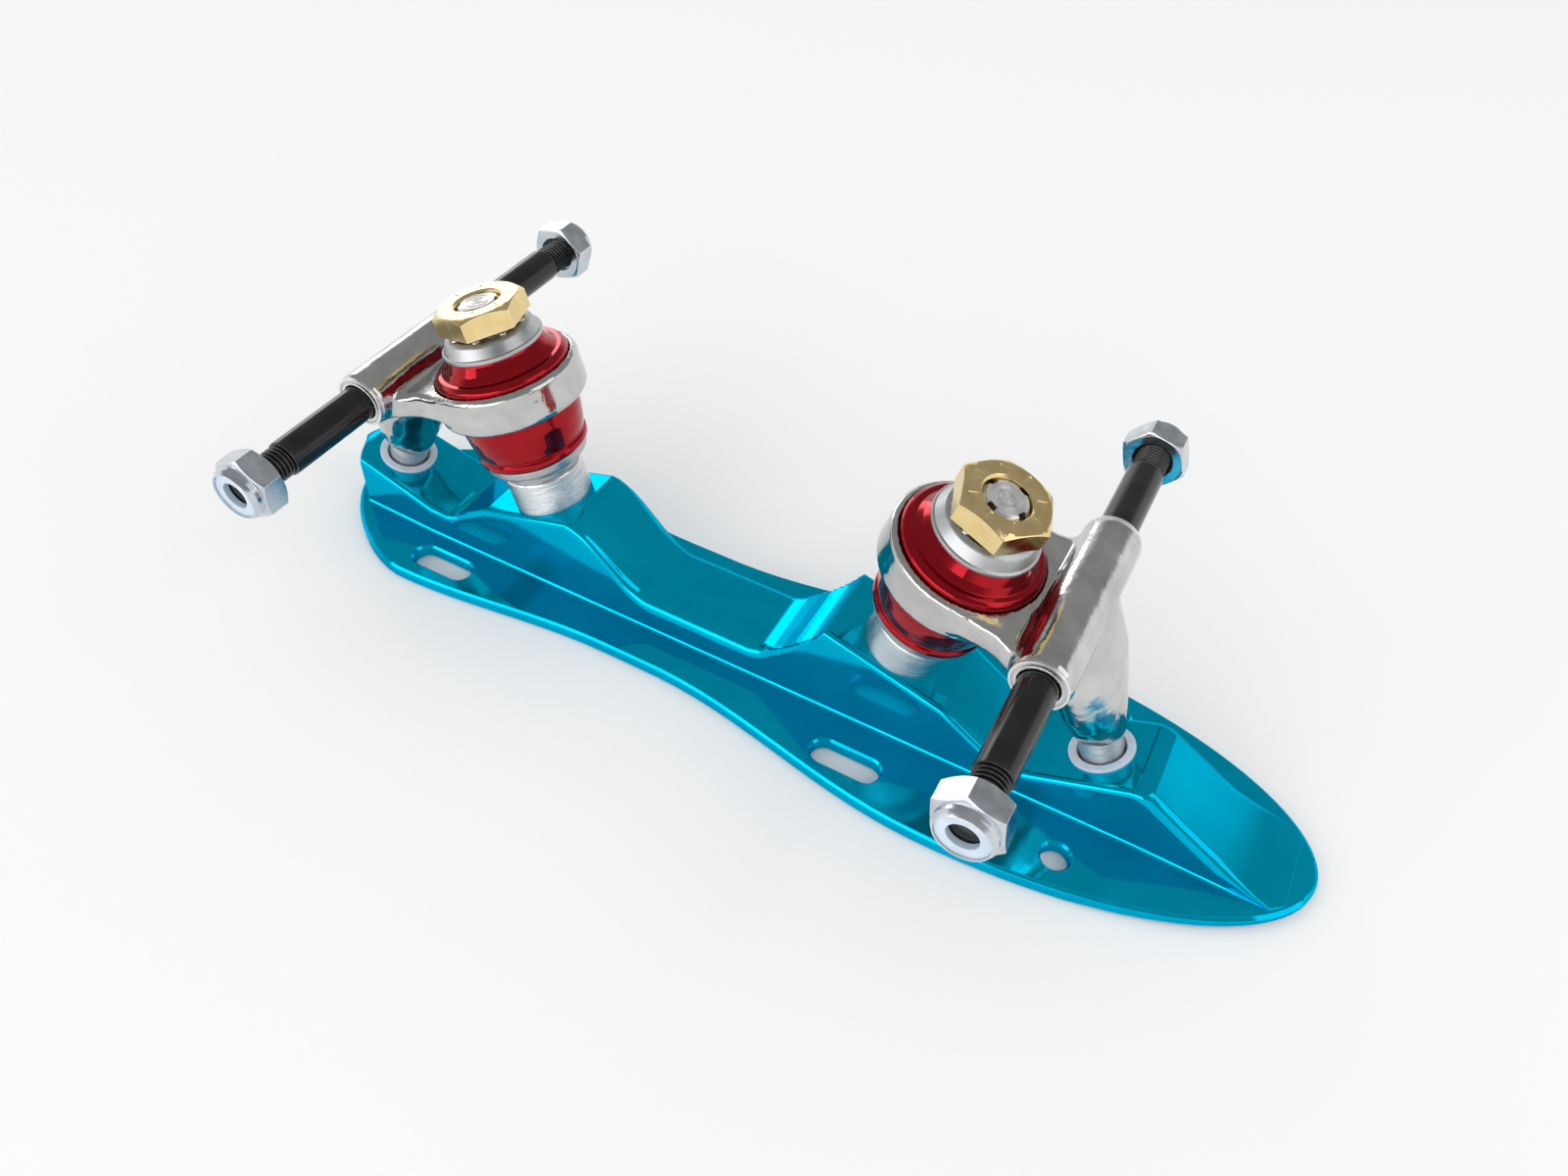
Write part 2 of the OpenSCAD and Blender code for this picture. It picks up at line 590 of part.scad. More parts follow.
module upper_cup(rear) color(ZINC) on_side(rear) on_kingpin() {
    rim = upper_cup_d / 2;
    top = upper_cup_top_d / 2;
    bore = kingpin_d / 2 + run_gap;
    low = upper_cup_low;
    turned([[bore, cushion_high], [rim - cup_lip, cushion_high], [rim - cup_lip, low], [rim, low],
        [rim, low + 0.7], [rim - 0.3, low + 0.8], [rim - 0.3, low + 1],
        [top, upper_cup_high], [bore, upper_cup_high]]);
    lug_r = (top + bore) / 2;
    for (k = [0:click_count - 1]) rotate(360 * k / click_count + 180 / click_count) translate([lug_r, 0, 0])
        translate([-1.6, -1, upper_cup_high - 0.3]) cube([3.2, 2, click_lug_h + 0.3]);
}

// A hexagon bar with its corners turned away at one or both ends
module hexagon(flats, height, bevel_low) {
    corner = flats / sqrt(3);
    rise = (corner - flats / 2 + 0.3) * tan(30);
    intersection() {
        cylinder(h = height, r = corner, $fn = 6);
        turned([[0, 0], [bevel_low ? flats / 2 - 0.3 : corner, 0], [corner + 0.01, bevel_low ? rise : 0],
            [corner + 0.01, height - rise], [flats / 2 - 0.3, height], [0, height]]);
    }
}

// Both nuts stand screwed round by the same angle
nut_turn = -11;
module kingpin_nut(rear) color(BRASS) on_side(rear) on_kingpin() translate([0, 0, nut_low])
    rotate(rear ? -nut_turn : nut_turn) nut_shape();
module nut_shape() difference() {
    hexagon(nut_flats, nut_h, false);
    translate([0, 0, -cut_past]) cylinder(h = nut_h + 2 * cut_past, d = kingpin_d + 2 * run_gap);
    translate([0, 0, nut_h - 0.5]) cylinder(h = 1, d1 = kingpin_d + 2 * run_gap, d2 = kingpin_d + 2);
    for (k = [0:click_count - 1]) rotate(360 * k / click_count)
        translate([kingpin_d / 2 + 0.9, -index_line_w / 2, nut_h - index_line_depth])
            cube([nut_flats / 2 - kingpin_d / 2 - 1.8, index_line_w, 1]);
}

// The hanger: cushion ring, broad arm, axle boss and pivot leg, cut from one casting
// Each end of the boss is faced to a ring with a shallow groove around the axle
boss_ring_break = 0.4;
boss_groove = 0.8;
groove_out_d = boss_ring_d - 1;
module hanger(rear) color(CAST) on_side(rear) difference() {
    union() {
        on_kingpin() ring_body();
        on_axle() cylinder(h = boss_len - 2 * boss_ring_w, d = boss_d, center = true);
        on_axle() both_ends() translate([0, 0, boss_len / 2])
            turned([[0, -2 * boss_ring_w], [boss_ring_d / 2, -2 * boss_ring_w],
                [boss_ring_d / 2, -boss_ring_break], [boss_ring_d / 2 - boss_ring_break, 0], [0, 0]]);
        on_pivot(leg_tilt) translate([0, 0, leg_gap]) leg();
    }
    on_kingpin() {
        translate([0, 0, ring_low - cut_past]) cylinder(h = web_low - ring_low + cut_past, r = ring_inner_r);
        translate([0, 0, web_high]) cylinder(h = bead_high + soft_gap - web_high, r = ring_inner_r);
        translate([0, 0, ring_low]) cylinder(h = ring_h, d = web_hole_d);
    }
    on_axle() cylinder(h = boss_len + 2 * cut_past, d = axle_d + axle_press, center = true);
    on_axle() both_ends() translate([0, 0, boss_len / 2 - boss_groove]) difference() {
        cylinder(h = boss_groove + cut_past, d = groove_out_d);
        cylinder(h = boss_groove + cut_past, d = (groove_out_d + axle_d + axle_press) / 2);
    }
    on_pivot(leg_tilt) cylinder(h = pivot_pin_len, d = pivot_pin_d);
}
// The leg fans out across the plate, from round at the pin to wide at the boss
leg_edge = 0.6;
leg_shares = [0, 0.05, 0.12, 0.22, 0.36, 0.6, 1];
leg_points = 40;
function leg_thickness(share) = share < 0.6 ? leg_end_d + (leg_mid_d - leg_end_d) * share / 0.6
    : leg_mid_d + (leg_top_d - leg_mid_d) * (share - 0.6) / 0.4;
function leg_width(share) = leg_end_d + (leg_spread - leg_end_d) * (1 - pow(1 - share, 3));
function oval(along, across, z) = [for (i = [0:leg_points - 1]) let (a = 180 + 360 * i / leg_points)
    [along / 2 * cos(a), across / 2 * sin(a), z]];
module leg() {
    height = leg_len - leg_gap;
    skin(concat([oval(leg_end_d - 2 * leg_edge, leg_end_d - 2 * leg_edge, 0)],
        [for (share = leg_shares)
            oval(leg_thickness(share), leg_width(share), leg_edge + (height - leg_edge) * share)]), 1);
}
// How far the arm starts inside the ring's edge
arm_inset = 0.2;
module ring_body() {
    translate([0, 0, ring_low]) turned([[0, 0], [ring_d / 2 - ring_bevel, 0], [ring_d / 2, ring_bevel],
        [ring_d / 2, ring_h - ring_bevel], [ring_d / 2 - ring_bevel, ring_h], [0, ring_h]]);
    arm_high = ring_h / 2 - ring_bevel;
    translate([0, 0, ring_mid]) rotate([0, -arm_lift, 0]) translate([0, 0, arm_high - arm_h])
        linear_extrude(arm_h) polygon([
            [0, -ring_d / 2 + arm_inset], [arm_len, -arm_w / 2],
            [arm_len, arm_w / 2], [0, ring_d / 2 - arm_inset]]);
}

module pivot_pin(rear) color(STEEL) on_side(rear) on_pivot(leg_tilt) {
    sphere(d = pivot_pin_d);
    cylinder(h = pivot_pin_len, d = pivot_pin_d);
}

module pivot_cup(rear) color(NYLON) on_side(rear)
    on_pivot(rear ? rear_pivot_slope : front_pivot_slope) difference() {
        union() {
            cylinder(h = pivot_flange_t, d = pivot_flange_d);
            translate([0, 0, -pivot_depth + 0.2]) cylinder(h = pivot_depth, d = pivot_cup_d);
        }
        sphere(r = socket_r);
        mouth_h = pivot_flange_t + cut_past;
        cylinder(h = mouth_h, r1 = socket_r, r2 = socket_r + mouth_h * 0.5);
    }

// The axle's thread: a row of ridges, one to a pitch
function ridges(from, length) = let (count = floor(length / thread_pitch)) [for (k = [0:count - 1]) each [
    [thread_d / 2 - thread_depth, from + (k + 0.15) * thread_pitch],
    [thread_d / 2, from + (k + 0.5) * thread_pitch],
    [thread_d / 2 - thread_depth, from + (k + 0.85) * thread_pitch]]];
module axle(rear) color(BLACK_STEEL) on_side(rear) on_axle() {
    root = thread_d / 2 - thread_depth;
    from = axle_plain_len / 2;
    cylinder(h = boss_len, d = axle_d + axle_press, center = true);
    cylinder(h = axle_plain_len, d = axle_d, center = true);
    both_ends() turned(concat([[0, from - 0.5], [root, from - 0.5]], ridges(from, thread_len),
        [[root, from + thread_len], [0, from + thread_len]]));
}

lock_nut_from = axle_plain_len / 2 + thread_bare;
insert_t = 1.6;
insert_bore_d = 6;
insert_d = lock_collar_d - 1.8;
insert_from = lock_nut_h + lock_collar_h - insert_t - 0.5;
insert_gap = 0.1;
nut_mouth_d = 9;
// Turn of the nuts on the far and the near end of each axle, as they were left
lock_nut_turns = [[13.4, 20], [18, 26.5]];
module lock_nut_places(rear) {
    turns = lock_nut_turns[rear ? 1 : 0];
    on_axle() for (end = [0, 1])
        mirror([0, 0, end]) translate([0, 0, lock_nut_from]) rotate(turns[end]) children();
}
module axle_nuts(rear) color(ZINC) on_side(rear) lock_nut_places(rear) difference() {
    union() {
        hexagon(lock_nut_flats, lock_nut_h, true);
        translate([0, 0, lock_nut_h - 0.01]) turned([[0, 0], [lock_collar_d / 2, 0],
            [lock_collar_d / 2, lock_collar_h * 0.5], [lock_collar_d / 2 - 0.7, lock_collar_h],
            [0, lock_collar_h]]);
    }
    translate([0, 0, -cut_past])
        cylinder(h = lock_nut_h + lock_collar_h + 2 * cut_past, d = thread_d);
    translate([0, 0, -0.01]) cylinder(h = 1, d1 = nut_mouth_d, d2 = nut_mouth_d - 2);
    translate([0, 0, insert_from]) cylinder(h = lock_collar_h + cut_past, d = insert_d);
}
module nut_inserts(rear) color(NYLON) on_side(rear) lock_nut_places(rear) difference() {
    translate([0, 0, insert_from]) cylinder(h = insert_t, d = insert_d);
    cylinder(h = lock_nut_h + lock_collar_h + cut_past, d = insert_bore_d);
    cylinder(h = thread_len - thread_bare + insert_gap, d = thread_d);
}

plate();
kingpin(false);  // front_kingpin
lower_cup(false);  // front_lower_cup
lower_cushion(false);  // front_lower_cushion
hanger(false);  // front_hanger
upper_cushion(false);  // front_upper_cushion
upper_cup(false);  // front_upper_cup
kingpin_nut(false);  // front_kingpin_nut
pivot_pin(false);  // front_pivot_pin
pivot_cup(false);  // front_pivot_cup
axle(false);  // front_axle
axle_nuts(false);  // front_axle_nuts
nut_inserts(false);  // front_nut_inserts
kingpin(true);  // rear_kingpin
lower_cup(true);  // rear_lower_cup
lower_cushion(true);  // rear_lower_cushion
hanger(true);  // rear_hanger
upper_cushion(true);  // rear_upper_cushion
upper_cup(true);  // rear_upper_cup
kingpin_nut(true);  // rear_kingpin_nut
pivot_pin(true);  // rear_pivot_pin
pivot_cup(true);  // rear_pivot_cup
axle(true);  // rear_axle
axle_nuts(true);  // rear_axle_nuts
nut_inserts(true);  // rear_nut_inserts
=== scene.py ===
# %% [markdown]
# # A roller skate plate with two trucks
# The real object is a plate milled from aluminium and anodised, which carries two steering trucks.
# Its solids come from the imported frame, which fixes every size and place.
# This lesson gives each solid its finished form and surface, and then sets up the camera and the light.

# %% The frame and its size
import math

import bpy
from mathutils import Matrix, Vector


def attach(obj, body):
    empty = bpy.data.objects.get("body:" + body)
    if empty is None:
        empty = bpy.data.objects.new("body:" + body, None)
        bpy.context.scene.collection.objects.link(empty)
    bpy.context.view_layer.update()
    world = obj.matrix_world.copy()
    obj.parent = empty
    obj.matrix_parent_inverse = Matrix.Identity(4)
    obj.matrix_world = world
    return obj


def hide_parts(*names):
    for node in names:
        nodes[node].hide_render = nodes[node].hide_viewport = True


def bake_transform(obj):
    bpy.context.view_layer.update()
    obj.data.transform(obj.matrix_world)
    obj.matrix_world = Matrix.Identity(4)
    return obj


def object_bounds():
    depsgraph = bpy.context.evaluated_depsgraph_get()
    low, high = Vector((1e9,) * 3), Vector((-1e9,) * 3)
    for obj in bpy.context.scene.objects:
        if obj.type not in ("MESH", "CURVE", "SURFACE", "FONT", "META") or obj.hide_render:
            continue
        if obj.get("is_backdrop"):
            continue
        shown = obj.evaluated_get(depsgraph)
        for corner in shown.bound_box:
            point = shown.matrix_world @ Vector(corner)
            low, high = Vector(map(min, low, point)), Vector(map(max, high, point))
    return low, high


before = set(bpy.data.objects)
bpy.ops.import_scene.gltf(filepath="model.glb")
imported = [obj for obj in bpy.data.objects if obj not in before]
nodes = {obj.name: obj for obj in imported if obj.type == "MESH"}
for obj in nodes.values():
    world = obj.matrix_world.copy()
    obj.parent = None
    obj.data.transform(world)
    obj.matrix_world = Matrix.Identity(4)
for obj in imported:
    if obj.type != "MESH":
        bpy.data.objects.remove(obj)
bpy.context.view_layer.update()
MM = 0.001

# %% [markdown]
# ## The camera
# The photograph looks down on the plate from the near side, with its toe to the right.
# The camera could be aimed with a Track To constraint, but the photograph is also rolled by a few degrees.
# So its three axes are worked out from azimuth, elevation and roll, and set as one matrix.

# %% Camera
EYE = Vector((78.71, -164.52, 214.31)) * MM
AZIMUTH, ELEVATION, ROLL = math.radians(25.721), math.radians(46.244), math.radians(3.647)
LENS = 27.025

towards_eye = Vector((math.sin(AZIMUTH) * math.cos(ELEVATION),
                      -math.cos(AZIMUTH) * math.cos(ELEVATION),
                      math.sin(ELEVATION)))
level = Vector((0, 0, 1)).cross(towards_eye).normalized()
upright = towards_eye.cross(level)
right = level * math.cos(ROLL) + upright * math.sin(ROLL)
up = upright * math.cos(ROLL) - level * math.sin(ROLL)
bpy.ops.object.camera_add()
camera = bpy.context.object
camera.matrix_world = Matrix.Translation(EYE) @ Matrix((right, up, towards_eye)).transposed().to_4x4()
camera.data.lens = LENS
camera.data.sensor_width = 36
camera.data.clip_start = 0.005
bpy.context.scene.camera = camera
print("camera stands", round(EYE.length / MM), "mm from the middle of the sole")

# %% [markdown]
# ## Selecting and shading
# Operators act on everything that is selected, so each step starts by picking its own piece.
# A modifier is applied at once, so that the mesh holds its final form.
# Weighted normals keep the flat faces flat beside small bevels.

# %% Helpers for picking, modifiers and shading
def pick(*pieces):
    """Select only these pieces. The first one becomes active."""
    if bpy.context.object and bpy.context.object.mode != "OBJECT":
        bpy.ops.object.mode_set(mode="OBJECT")
    bpy.ops.object.select_all(action="DESELECT")
    for piece in pieces:
        piece.select_set(True)
    bpy.context.view_layer.objects.active = pieces[0]


def shape_with(piece, kind, **settings):
    """Add a modifier, set it up and apply it."""
    pick(piece)
    modifier = piece.modifiers.new(kind.title(), kind)
    for name, value in settings.items():
        setattr(modifier, name, value)
    bpy.ops.object.modifier_apply(modifier=modifier.name)


def shade(piece, angle=35):
    """Shade smooth, except across edges sharper than angle, in degrees."""
    pick(piece)
    bpy.ops.object.shade_smooth_by_angle(angle=math.radians(angle))
    shape_with(piece, "WEIGHTED_NORMAL", keep_sharp=True)


def joined(name, *pieces):
    """Make one piece of several."""
    pick(*pieces)
    bpy.ops.object.join()
    pieces[0].name = name
    return pieces[0]


def primitive(add, **settings):
    """Add a primitive with nothing else selected."""
    pick(camera)
    add(**settings)
    return bpy.context.object


print("helpers: pick, shape_with, shade, joined, primitive")

# %% [markdown]
# ## Turned pieces
# Kingpins, cups, cushions, pins and axles are round, so on a lathe a profile would be turned about an axis.
# Here a single vertex is extruded along the profile and the chain is spun once round.
# Sharp corners catch no light, so each corner of the profile is rounded first.
# The place of each point before the piece is stood up is kept in an attribute, for the marks of the lathe.

# %% Helpers for turned pieces
SPIN_STEPS = 96
LONGEST_CUT = 0.45
MERGE = 0.002


def rounded(corners, closed=True, steps=4):
    """A profile of (radius, height, rounding) corners in millimetres, with its corners rounded."""
    points = []
    for i, (radius, height, size) in enumerate(corners):
        here = Vector((radius, height))
        at_end = not closed and i in (0, len(corners) - 1)
        if size == 0 or at_end:
            points.append(here)
            continue
        before = Vector(corners[i - 1][:2]) - here
        after = Vector(corners[(i + 1) % len(corners)][:2]) - here
        half_angle = before.angle(after) / 2
        cut = min(size / math.tan(half_angle), LONGEST_CUT * before.length, LONGEST_CUT * after.length)
        start, end = here + before.normalized() * cut, here + after.normalized() * cut
        for k in range(steps + 1):
            t = k / steps
            points.append((1 - t) ** 2 * start + 2 * t * (1 - t) * here + t * t * end)
    return points


def keep_turning_place(piece):
    """Keep each point's place about the turning axis, in millimetres."""
    place = piece.data.attributes.new("turned", "FLOAT_VECTOR", "POINT")
    place.data.foreach_set("vector", [c / MM for v in piece.data.vertices for c in v.co])


def turn(name, profile, closed=True):
    """Turn a profile about the Z axis."""
    piece = primitive(bpy.ops.mesh.primitive_plane_add, size=MM)
    piece.name = name
    bpy.ops.object.mode_set(mode="EDIT")
    bpy.ops.mesh.select_mode(type="VERT")
    bpy.ops.mesh.select_all(action="SELECT")
    bpy.ops.mesh.merge(type="CENTER")
    first = profile[0]
    bpy.ops.transform.translate(value=(first[0] * MM, 0, first[1] * MM))
    path = list(profile) + [first] if closed else list(profile)
    for here, there in zip(path, path[1:]):
        step = ((there[0] - here[0]) * MM, 0, (there[1] - here[1]) * MM)
        bpy.ops.mesh.extrude_vertices_move(TRANSFORM_OT_translate={"value": step})
    bpy.ops.mesh.select_all(action="SELECT")
    bpy.ops.mesh.spin(steps=SPIN_STEPS, angle=2 * math.pi, center=(0, 0, 0), axis=(0, 0, 1))
    bpy.ops.mesh.select_all(action="SELECT")
    bpy.ops.mesh.remove_doubles(threshold=MERGE * MM)
    bpy.ops.mesh.normals_make_consistent(inside=False)
    bpy.ops.object.mode_set(mode="OBJECT")
    keep_turning_place(piece)
    return piece


def stand(piece, place):
    """Stand a piece in its place, and put that place into its mesh."""
    piece.matrix_world = place
    pick(piece)
    bpy.ops.object.transform_apply(location=True, rotation=True, scale=True)
    return piece


print("helpers: rounded, keep_turning_place, turn, stand")

# %% [markdown]
# ## Where the trucks stand
# Each truck has three axes: its kingpin leans outwards, its pivot leans inwards, and its axle lies across.
# The rear truck is the front one turned round, so both share the same heights and radii.

# %% Places of the trucks
TRUCKS = ("front", "rear")
OUTWARD = {"front": 1, "rear": -1}
AXLE_X = {"front": 62, "rear": -96}
AXLE_Z = 51.5
KINGPIN_IN = 32.6
KINGPIN_SEAT_Z = 23
KINGPIN_TILT = math.radians(16.7)
PIVOT_OUT = 13.8
PIVOT_Z = 15.5
LEG_TILT = math.radians(20)
PIVOT_SLOPE = {"front": math.radians(23), "rear": math.radians(16)}


def axis_place(x, z, lean):
    """A place on the plate's middle line whose Z axis leans towards +X."""
    turn_z = Vector((math.sin(lean), 0, math.cos(lean)))
    turn_y = Vector((0, 1, 0))
    turns = Matrix((turn_y.cross(turn_z), turn_y, turn_z)).transposed().to_4x4()
    return Matrix.Translation(Vector((x, 0, z)) * MM) @ turns


def kingpin_place(truck):
    out = OUTWARD[truck]
    return axis_place(AXLE_X[truck] - out * KINGPIN_IN, KINGPIN_SEAT_Z, out * KINGPIN_TILT)


def pivot_place(truck, lean):
    out = OUTWARD[truck]
    return axis_place(AXLE_X[truck] + out * PIVOT_OUT, PIVOT_Z, -out * lean)


def axle_place(truck):
    across = Matrix.Rotation(math.radians(-90), 4, "X")
    return Matrix.Translation(Vector((AXLE_X[truck], 0, AXLE_Z)) * MM) @ across


for truck in TRUCKS:
    print(truck, "kingpin seat at", [round(v / MM, 1) for v in kingpin_place(truck).translation])

# %% [markdown]
# ## Marks that several finishes share
# Metal that was cut, turned and handled shows fine lines, rings and smears; its edges are painted lighter as
# a painted highlight, and on some finishes also as wear.
# Each of these is a small group of shader nodes that is built once, and each finish uses it at its own scale.
# A group gives out only masks and heights, and the shader itself stays in each material.

# %% Helpers for shader nodes
def group_of(name, inputs, outputs):
    """A new shader node group with its sockets. Returns the tree, its input node and its output node."""
    tree = bpy.data.node_groups.new(name, "ShaderNodeTree")
    for socket, kind, value in inputs:
        made = tree.interface.new_socket(socket, in_out="INPUT", socket_type=kind)
        if value is not None:
            made.default_value = value
    for socket in outputs:
        tree.interface.new_socket(socket, in_out="OUTPUT", socket_type="NodeSocketFloat")
    return tree, tree.nodes.new("NodeGroupInput"), tree.nodes.new("NodeGroupOutput")


def node(tree, kind, links=(), values=(), **settings):
    """Add a shader node, set it up, and link its inputs."""
    made = tree.nodes.new("ShaderNode" + kind)
    for name, value in settings.items():
        setattr(made, name, value)
    for socket, value in dict(values).items():
        made.inputs[socket].default_value = value
    for socket, source in dict(links).items():
        tree.links.new(source, made.inputs[socket])
    return made


print("helpers: group_of, node")

# %% Groups: smears, cut lines, turned rings, and edges painted lighter as highlight and wear
VECTOR, FLOAT = "NodeSocketVector", "NodeSocketFloat"

smears, given, result = group_of("smears", [("Vector", VECTOR, None), ("Scale", FLOAT, 0.05)], ["Amount"])
cloud = node(smears, "TexNoise", {"Vector": given.outputs["Vector"], "Scale": given.outputs["Scale"]},
             {"Detail": 5, "Roughness": 0.6, "Distortion": 0.4})
spread = node(smears, "MapRange", {"Value": cloud.outputs["Fac"]}, {"From Min": 0.38, "From Max": 0.68})
smears.links.new(spread.outputs["Result"], result.inputs["Amount"])

cut_lines, given, result = group_of(
    "cut_lines", [("Vector", VECTOR, None), ("Spacing", VECTOR, (0.01, 3, 3))], ["Height"])
stretched = node(cut_lines, "VectorMath", {0: given.outputs["Vector"], 1: given.outputs["Spacing"]},
                 operation="MULTIPLY")
lines = node(cut_lines, "TexNoise", {"Vector": stretched.outputs["Vector"]},
             {"Scale": 1, "Detail": 3, "Roughness": 0.55})
cut_lines.links.new(lines.outputs["Fac"], result.inputs["Height"])

turned_rings, given, result = group_of(
    "turned_rings", [("Vector", VECTOR, None), ("Pitch", FLOAT, 0.2)], ["Height"])
parts = node(turned_rings, "SeparateXYZ", {0: given.outputs["Vector"]})
flat_place = node(turned_rings, "CombineXYZ", {"X": parts.outputs["X"], "Y": parts.outputs["Y"]})
radius = node(turned_rings, "VectorMath", {0: flat_place.outputs["Vector"]}, operation="LENGTH")
along = node(turned_rings, "Math", {0: radius.outputs["Value"], 1: parts.outputs["Z"]}, operation="ADD")
count = node(turned_rings, "Math", {0: along.outputs["Value"], 1: given.outputs["Pitch"]}, operation="DIVIDE")
rings = node(turned_rings, "TexNoise", {"W": count.outputs["Value"]},
             {"Scale": 1, "Detail": 2, "Roughness": 0.5}, noise_dimensions="1D")
turned_rings.links.new(rings.outputs["Fac"], result.inputs["Height"])

# Edges found by the Bevel node make a mask for a lighter colour: a painted highlight where edges would catch
# the light, and on some finishes also wear.
edge_highlight_and_wear, given, result = group_of("edge_highlight_and_wear", [("Radius", FLOAT, 0.4 * MM)], ["Mask"])
eased = node(edge_highlight_and_wear, "Bevel", {"Radius": given.outputs["Radius"]}, samples=4)
surface = node(edge_highlight_and_wear, "NewGeometry")
agree = node(edge_highlight_and_wear, "VectorMath", {0: eased.outputs["Normal"], 1: surface.outputs["Normal"]},
             operation="DOT_PRODUCT")
edge = node(edge_highlight_and_wear, "MapRange", {"Value": agree.outputs["Value"]},
            {"From Min": 0.995, "From Max": 0.9, "To Min": 0, "To Max": 1})
edge_highlight_and_wear.links.new(edge.outputs["Result"], result.inputs["Mask"])
print("groups:", [tree.name for tree in (smears, cut_lines, turned_rings, edge_highlight_and_wear)])

# %% [markdown]
# ## Finishes
# Every finish is a Principled shader with the marks of how that piece was made.
# Milled pieces read Object coordinates, and turned pieces read their own turning place.
# Colours are written in linear values, and what stays the same all over is set on the shader itself.

# %% Helper for finishes
def new_finish(name, turned=False, **constants):
    """A material with its shader. Returns material, tree, shader and the coordinates in millimetres."""
    material = bpy.data.materials.new(name + "_finish")
    material["slot"] = name
    material.use_nodes = True
    tree = material.node_tree
    shader = tree.nodes["Principled BSDF"]
    for socket, value in constants.items():
        shader.inputs[socket.replace("_", " ")].default_value = value
    if turned:
        place = node(tree, "Attribute", attribute_name="turned").outputs["Vector"]
    else:
        where = node(tree, "TexCoord")
        place = node(tree, "Mapping", {"Vector": where.outputs["Object"]},
                     {"Scale": (1 / MM, 1 / MM, 1 / MM)}).outputs["Vector"]
    return material, tree, shader, place


def use_group(tree, group, links=(), values=()):
    """Place a node group in a finish."""
    made = tree.nodes.new("ShaderNodeGroup")
    made.node_tree = group
    for socket, value in dict(values).items():
        made.inputs[socket].default_value = value
    for socket, source in dict(links).items():
        tree.links.new(source, made.inputs[socket])
    return made


def colour_between(tree, shader, mask, low, high):
    """Mix two base colours by a mask."""
    mix = node(tree, "Mix", {0: mask}, data_type="RGBA")
    mix.inputs[6].default_value = (*low, 1)
    mix.inputs[7].default_value = (*high, 1)
    tree.links.new(mix.outputs[2], shader.inputs["Base Color"])
    return mix


def colour_edges(tree, shader, mask, below, colour):
    """Paint the edges in another colour over the mixed colours below, as a painted highlight and, on some
    finishes, wear.
    """
    mix = node(tree, "Mix", {0: mask, 6: below.outputs[2]}, data_type="RGBA")
    mix.inputs[7].default_value = (*colour, 1)
    tree.links.new(mix.outputs[2], shader.inputs["Base Color"])


def roughness_between(tree, shader, mask, low, high):
    """Spread a mask over a range of roughness."""
    spread = node(tree, "MapRange", {"Value": mask}, {"To Min": low, "To Max": high})
    tree.links.new(spread.outputs["Result"], shader.inputs["Roughness"])


def bump_from(tree, shader, height, depth, strength=1):
    """Let a height move the surface's normal. depth is in millimetres."""
    bump = node(tree, "Bump", {"Height": height}, {"Strength": strength, "Distance": depth * MM})
    tree.links.new(bump.outputs["Normal"], shader.inputs["Normal"])


print("helpers: new_finish, use_group, colour_between, colour_edges, roughness_between, bump_from")

# %% [markdown]
# ### Anodised aluminium
# The plate is milled, polished and dyed teal in its oxide layer, so it stays a metal that reflects in teal.
# The mill leaves fine lines along it, handling leaves faint smears, and its edges are painted a lighter teal,
# a painted highlight.
# A glossy paint would look white at glancing angles, but the dye tints those reflections too.
# So the shader is mostly metallic, and its specular tint is teal as well.

# %% Anodised aluminium
anodised, tree, shader, place = new_finish("anodised_alloy", Metallic=0.8, Specular_IOR_Level=0,
                                           Specular_Tint=(0.02, 0.5, 0.7, 1))
smear = use_group(tree, smears, {"Vector": place}, {"Scale": 0.045})
edge = use_group(tree, edge_highlight_and_wear, values={"Radius": 0.5 * MM})
mill = use_group(tree, cut_lines, {"Vector": place}, {"Spacing": (0.02, 1.6, 1.6)})
dye = colour_between(tree, shader, smear.outputs["Amount"], (0.001, 0.41, 0.63), (0.002, 0.47, 0.72))
# The edges are painted a lighter teal: a painted highlight along them.
colour_edges(tree, shader, edge.outputs["Mask"], dye, (0.004, 0.64, 0.92))
roughness_between(tree, shader, smear.outputs["Amount"], 0.06, 0.12)
bump_from(tree, shader, mill.outputs["Height"], 0.004)
print("finish:", anodised.name)

# %% [markdown]
# ### Polished casting
# The hangers are cast in aluminium and polished by hand, so their surface is bright but slightly wavy.
# A perfect mirror would look like plating, so a broad noise bends the reflections, and smears dull them.

# %% Polished casting
polished, tree, shader, place = new_finish("polished_casting", Metallic=1.0)
smear = use_group(tree, smears, {"Vector": place}, {"Scale": 0.12})
wave = node(tree, "TexNoise", {"Vector": place}, {"Scale": 0.22, "Detail": 3, "Roughness": 0.45})
colour_between(tree, shader, smear.outputs["Amount"], (0.50, 0.50, 0.49), (0.62, 0.62, 0.61))
roughness_between(tree, shader, smear.outputs["Amount"], 0.07, 0.18)
bump_from(tree, shader, wave.outputs["Fac"], 0.22)
print("finish:", polished.name)

# %% [markdown]
# ### Bright steel
# Kingpins and pivot pins are turned from steel, and the tool leaves fine rings round their axis.
# The rings are too fine to model, so they are a bump that follows the turning place of each point.

# %% Bright steel
bright, tree, shader, place = new_finish("bright_steel", turned=True, Metallic=1.0)
smear = use_group(tree, smears, {"Vector": place}, {"Scale": 0.15})
ring = use_group(tree, turned_rings, {"Vector": place}, {"Pitch": 0.13})
colour_between(tree, shader, smear.outputs["Amount"], (0.74, 0.74, 0.74), (0.82, 0.82, 0.81))
roughness_between(tree, shader, ring.outputs["Height"], 0.08, 0.22)
bump_from(tree, shader, ring.outputs["Height"], 0.09)
print("finish:", bright.name)

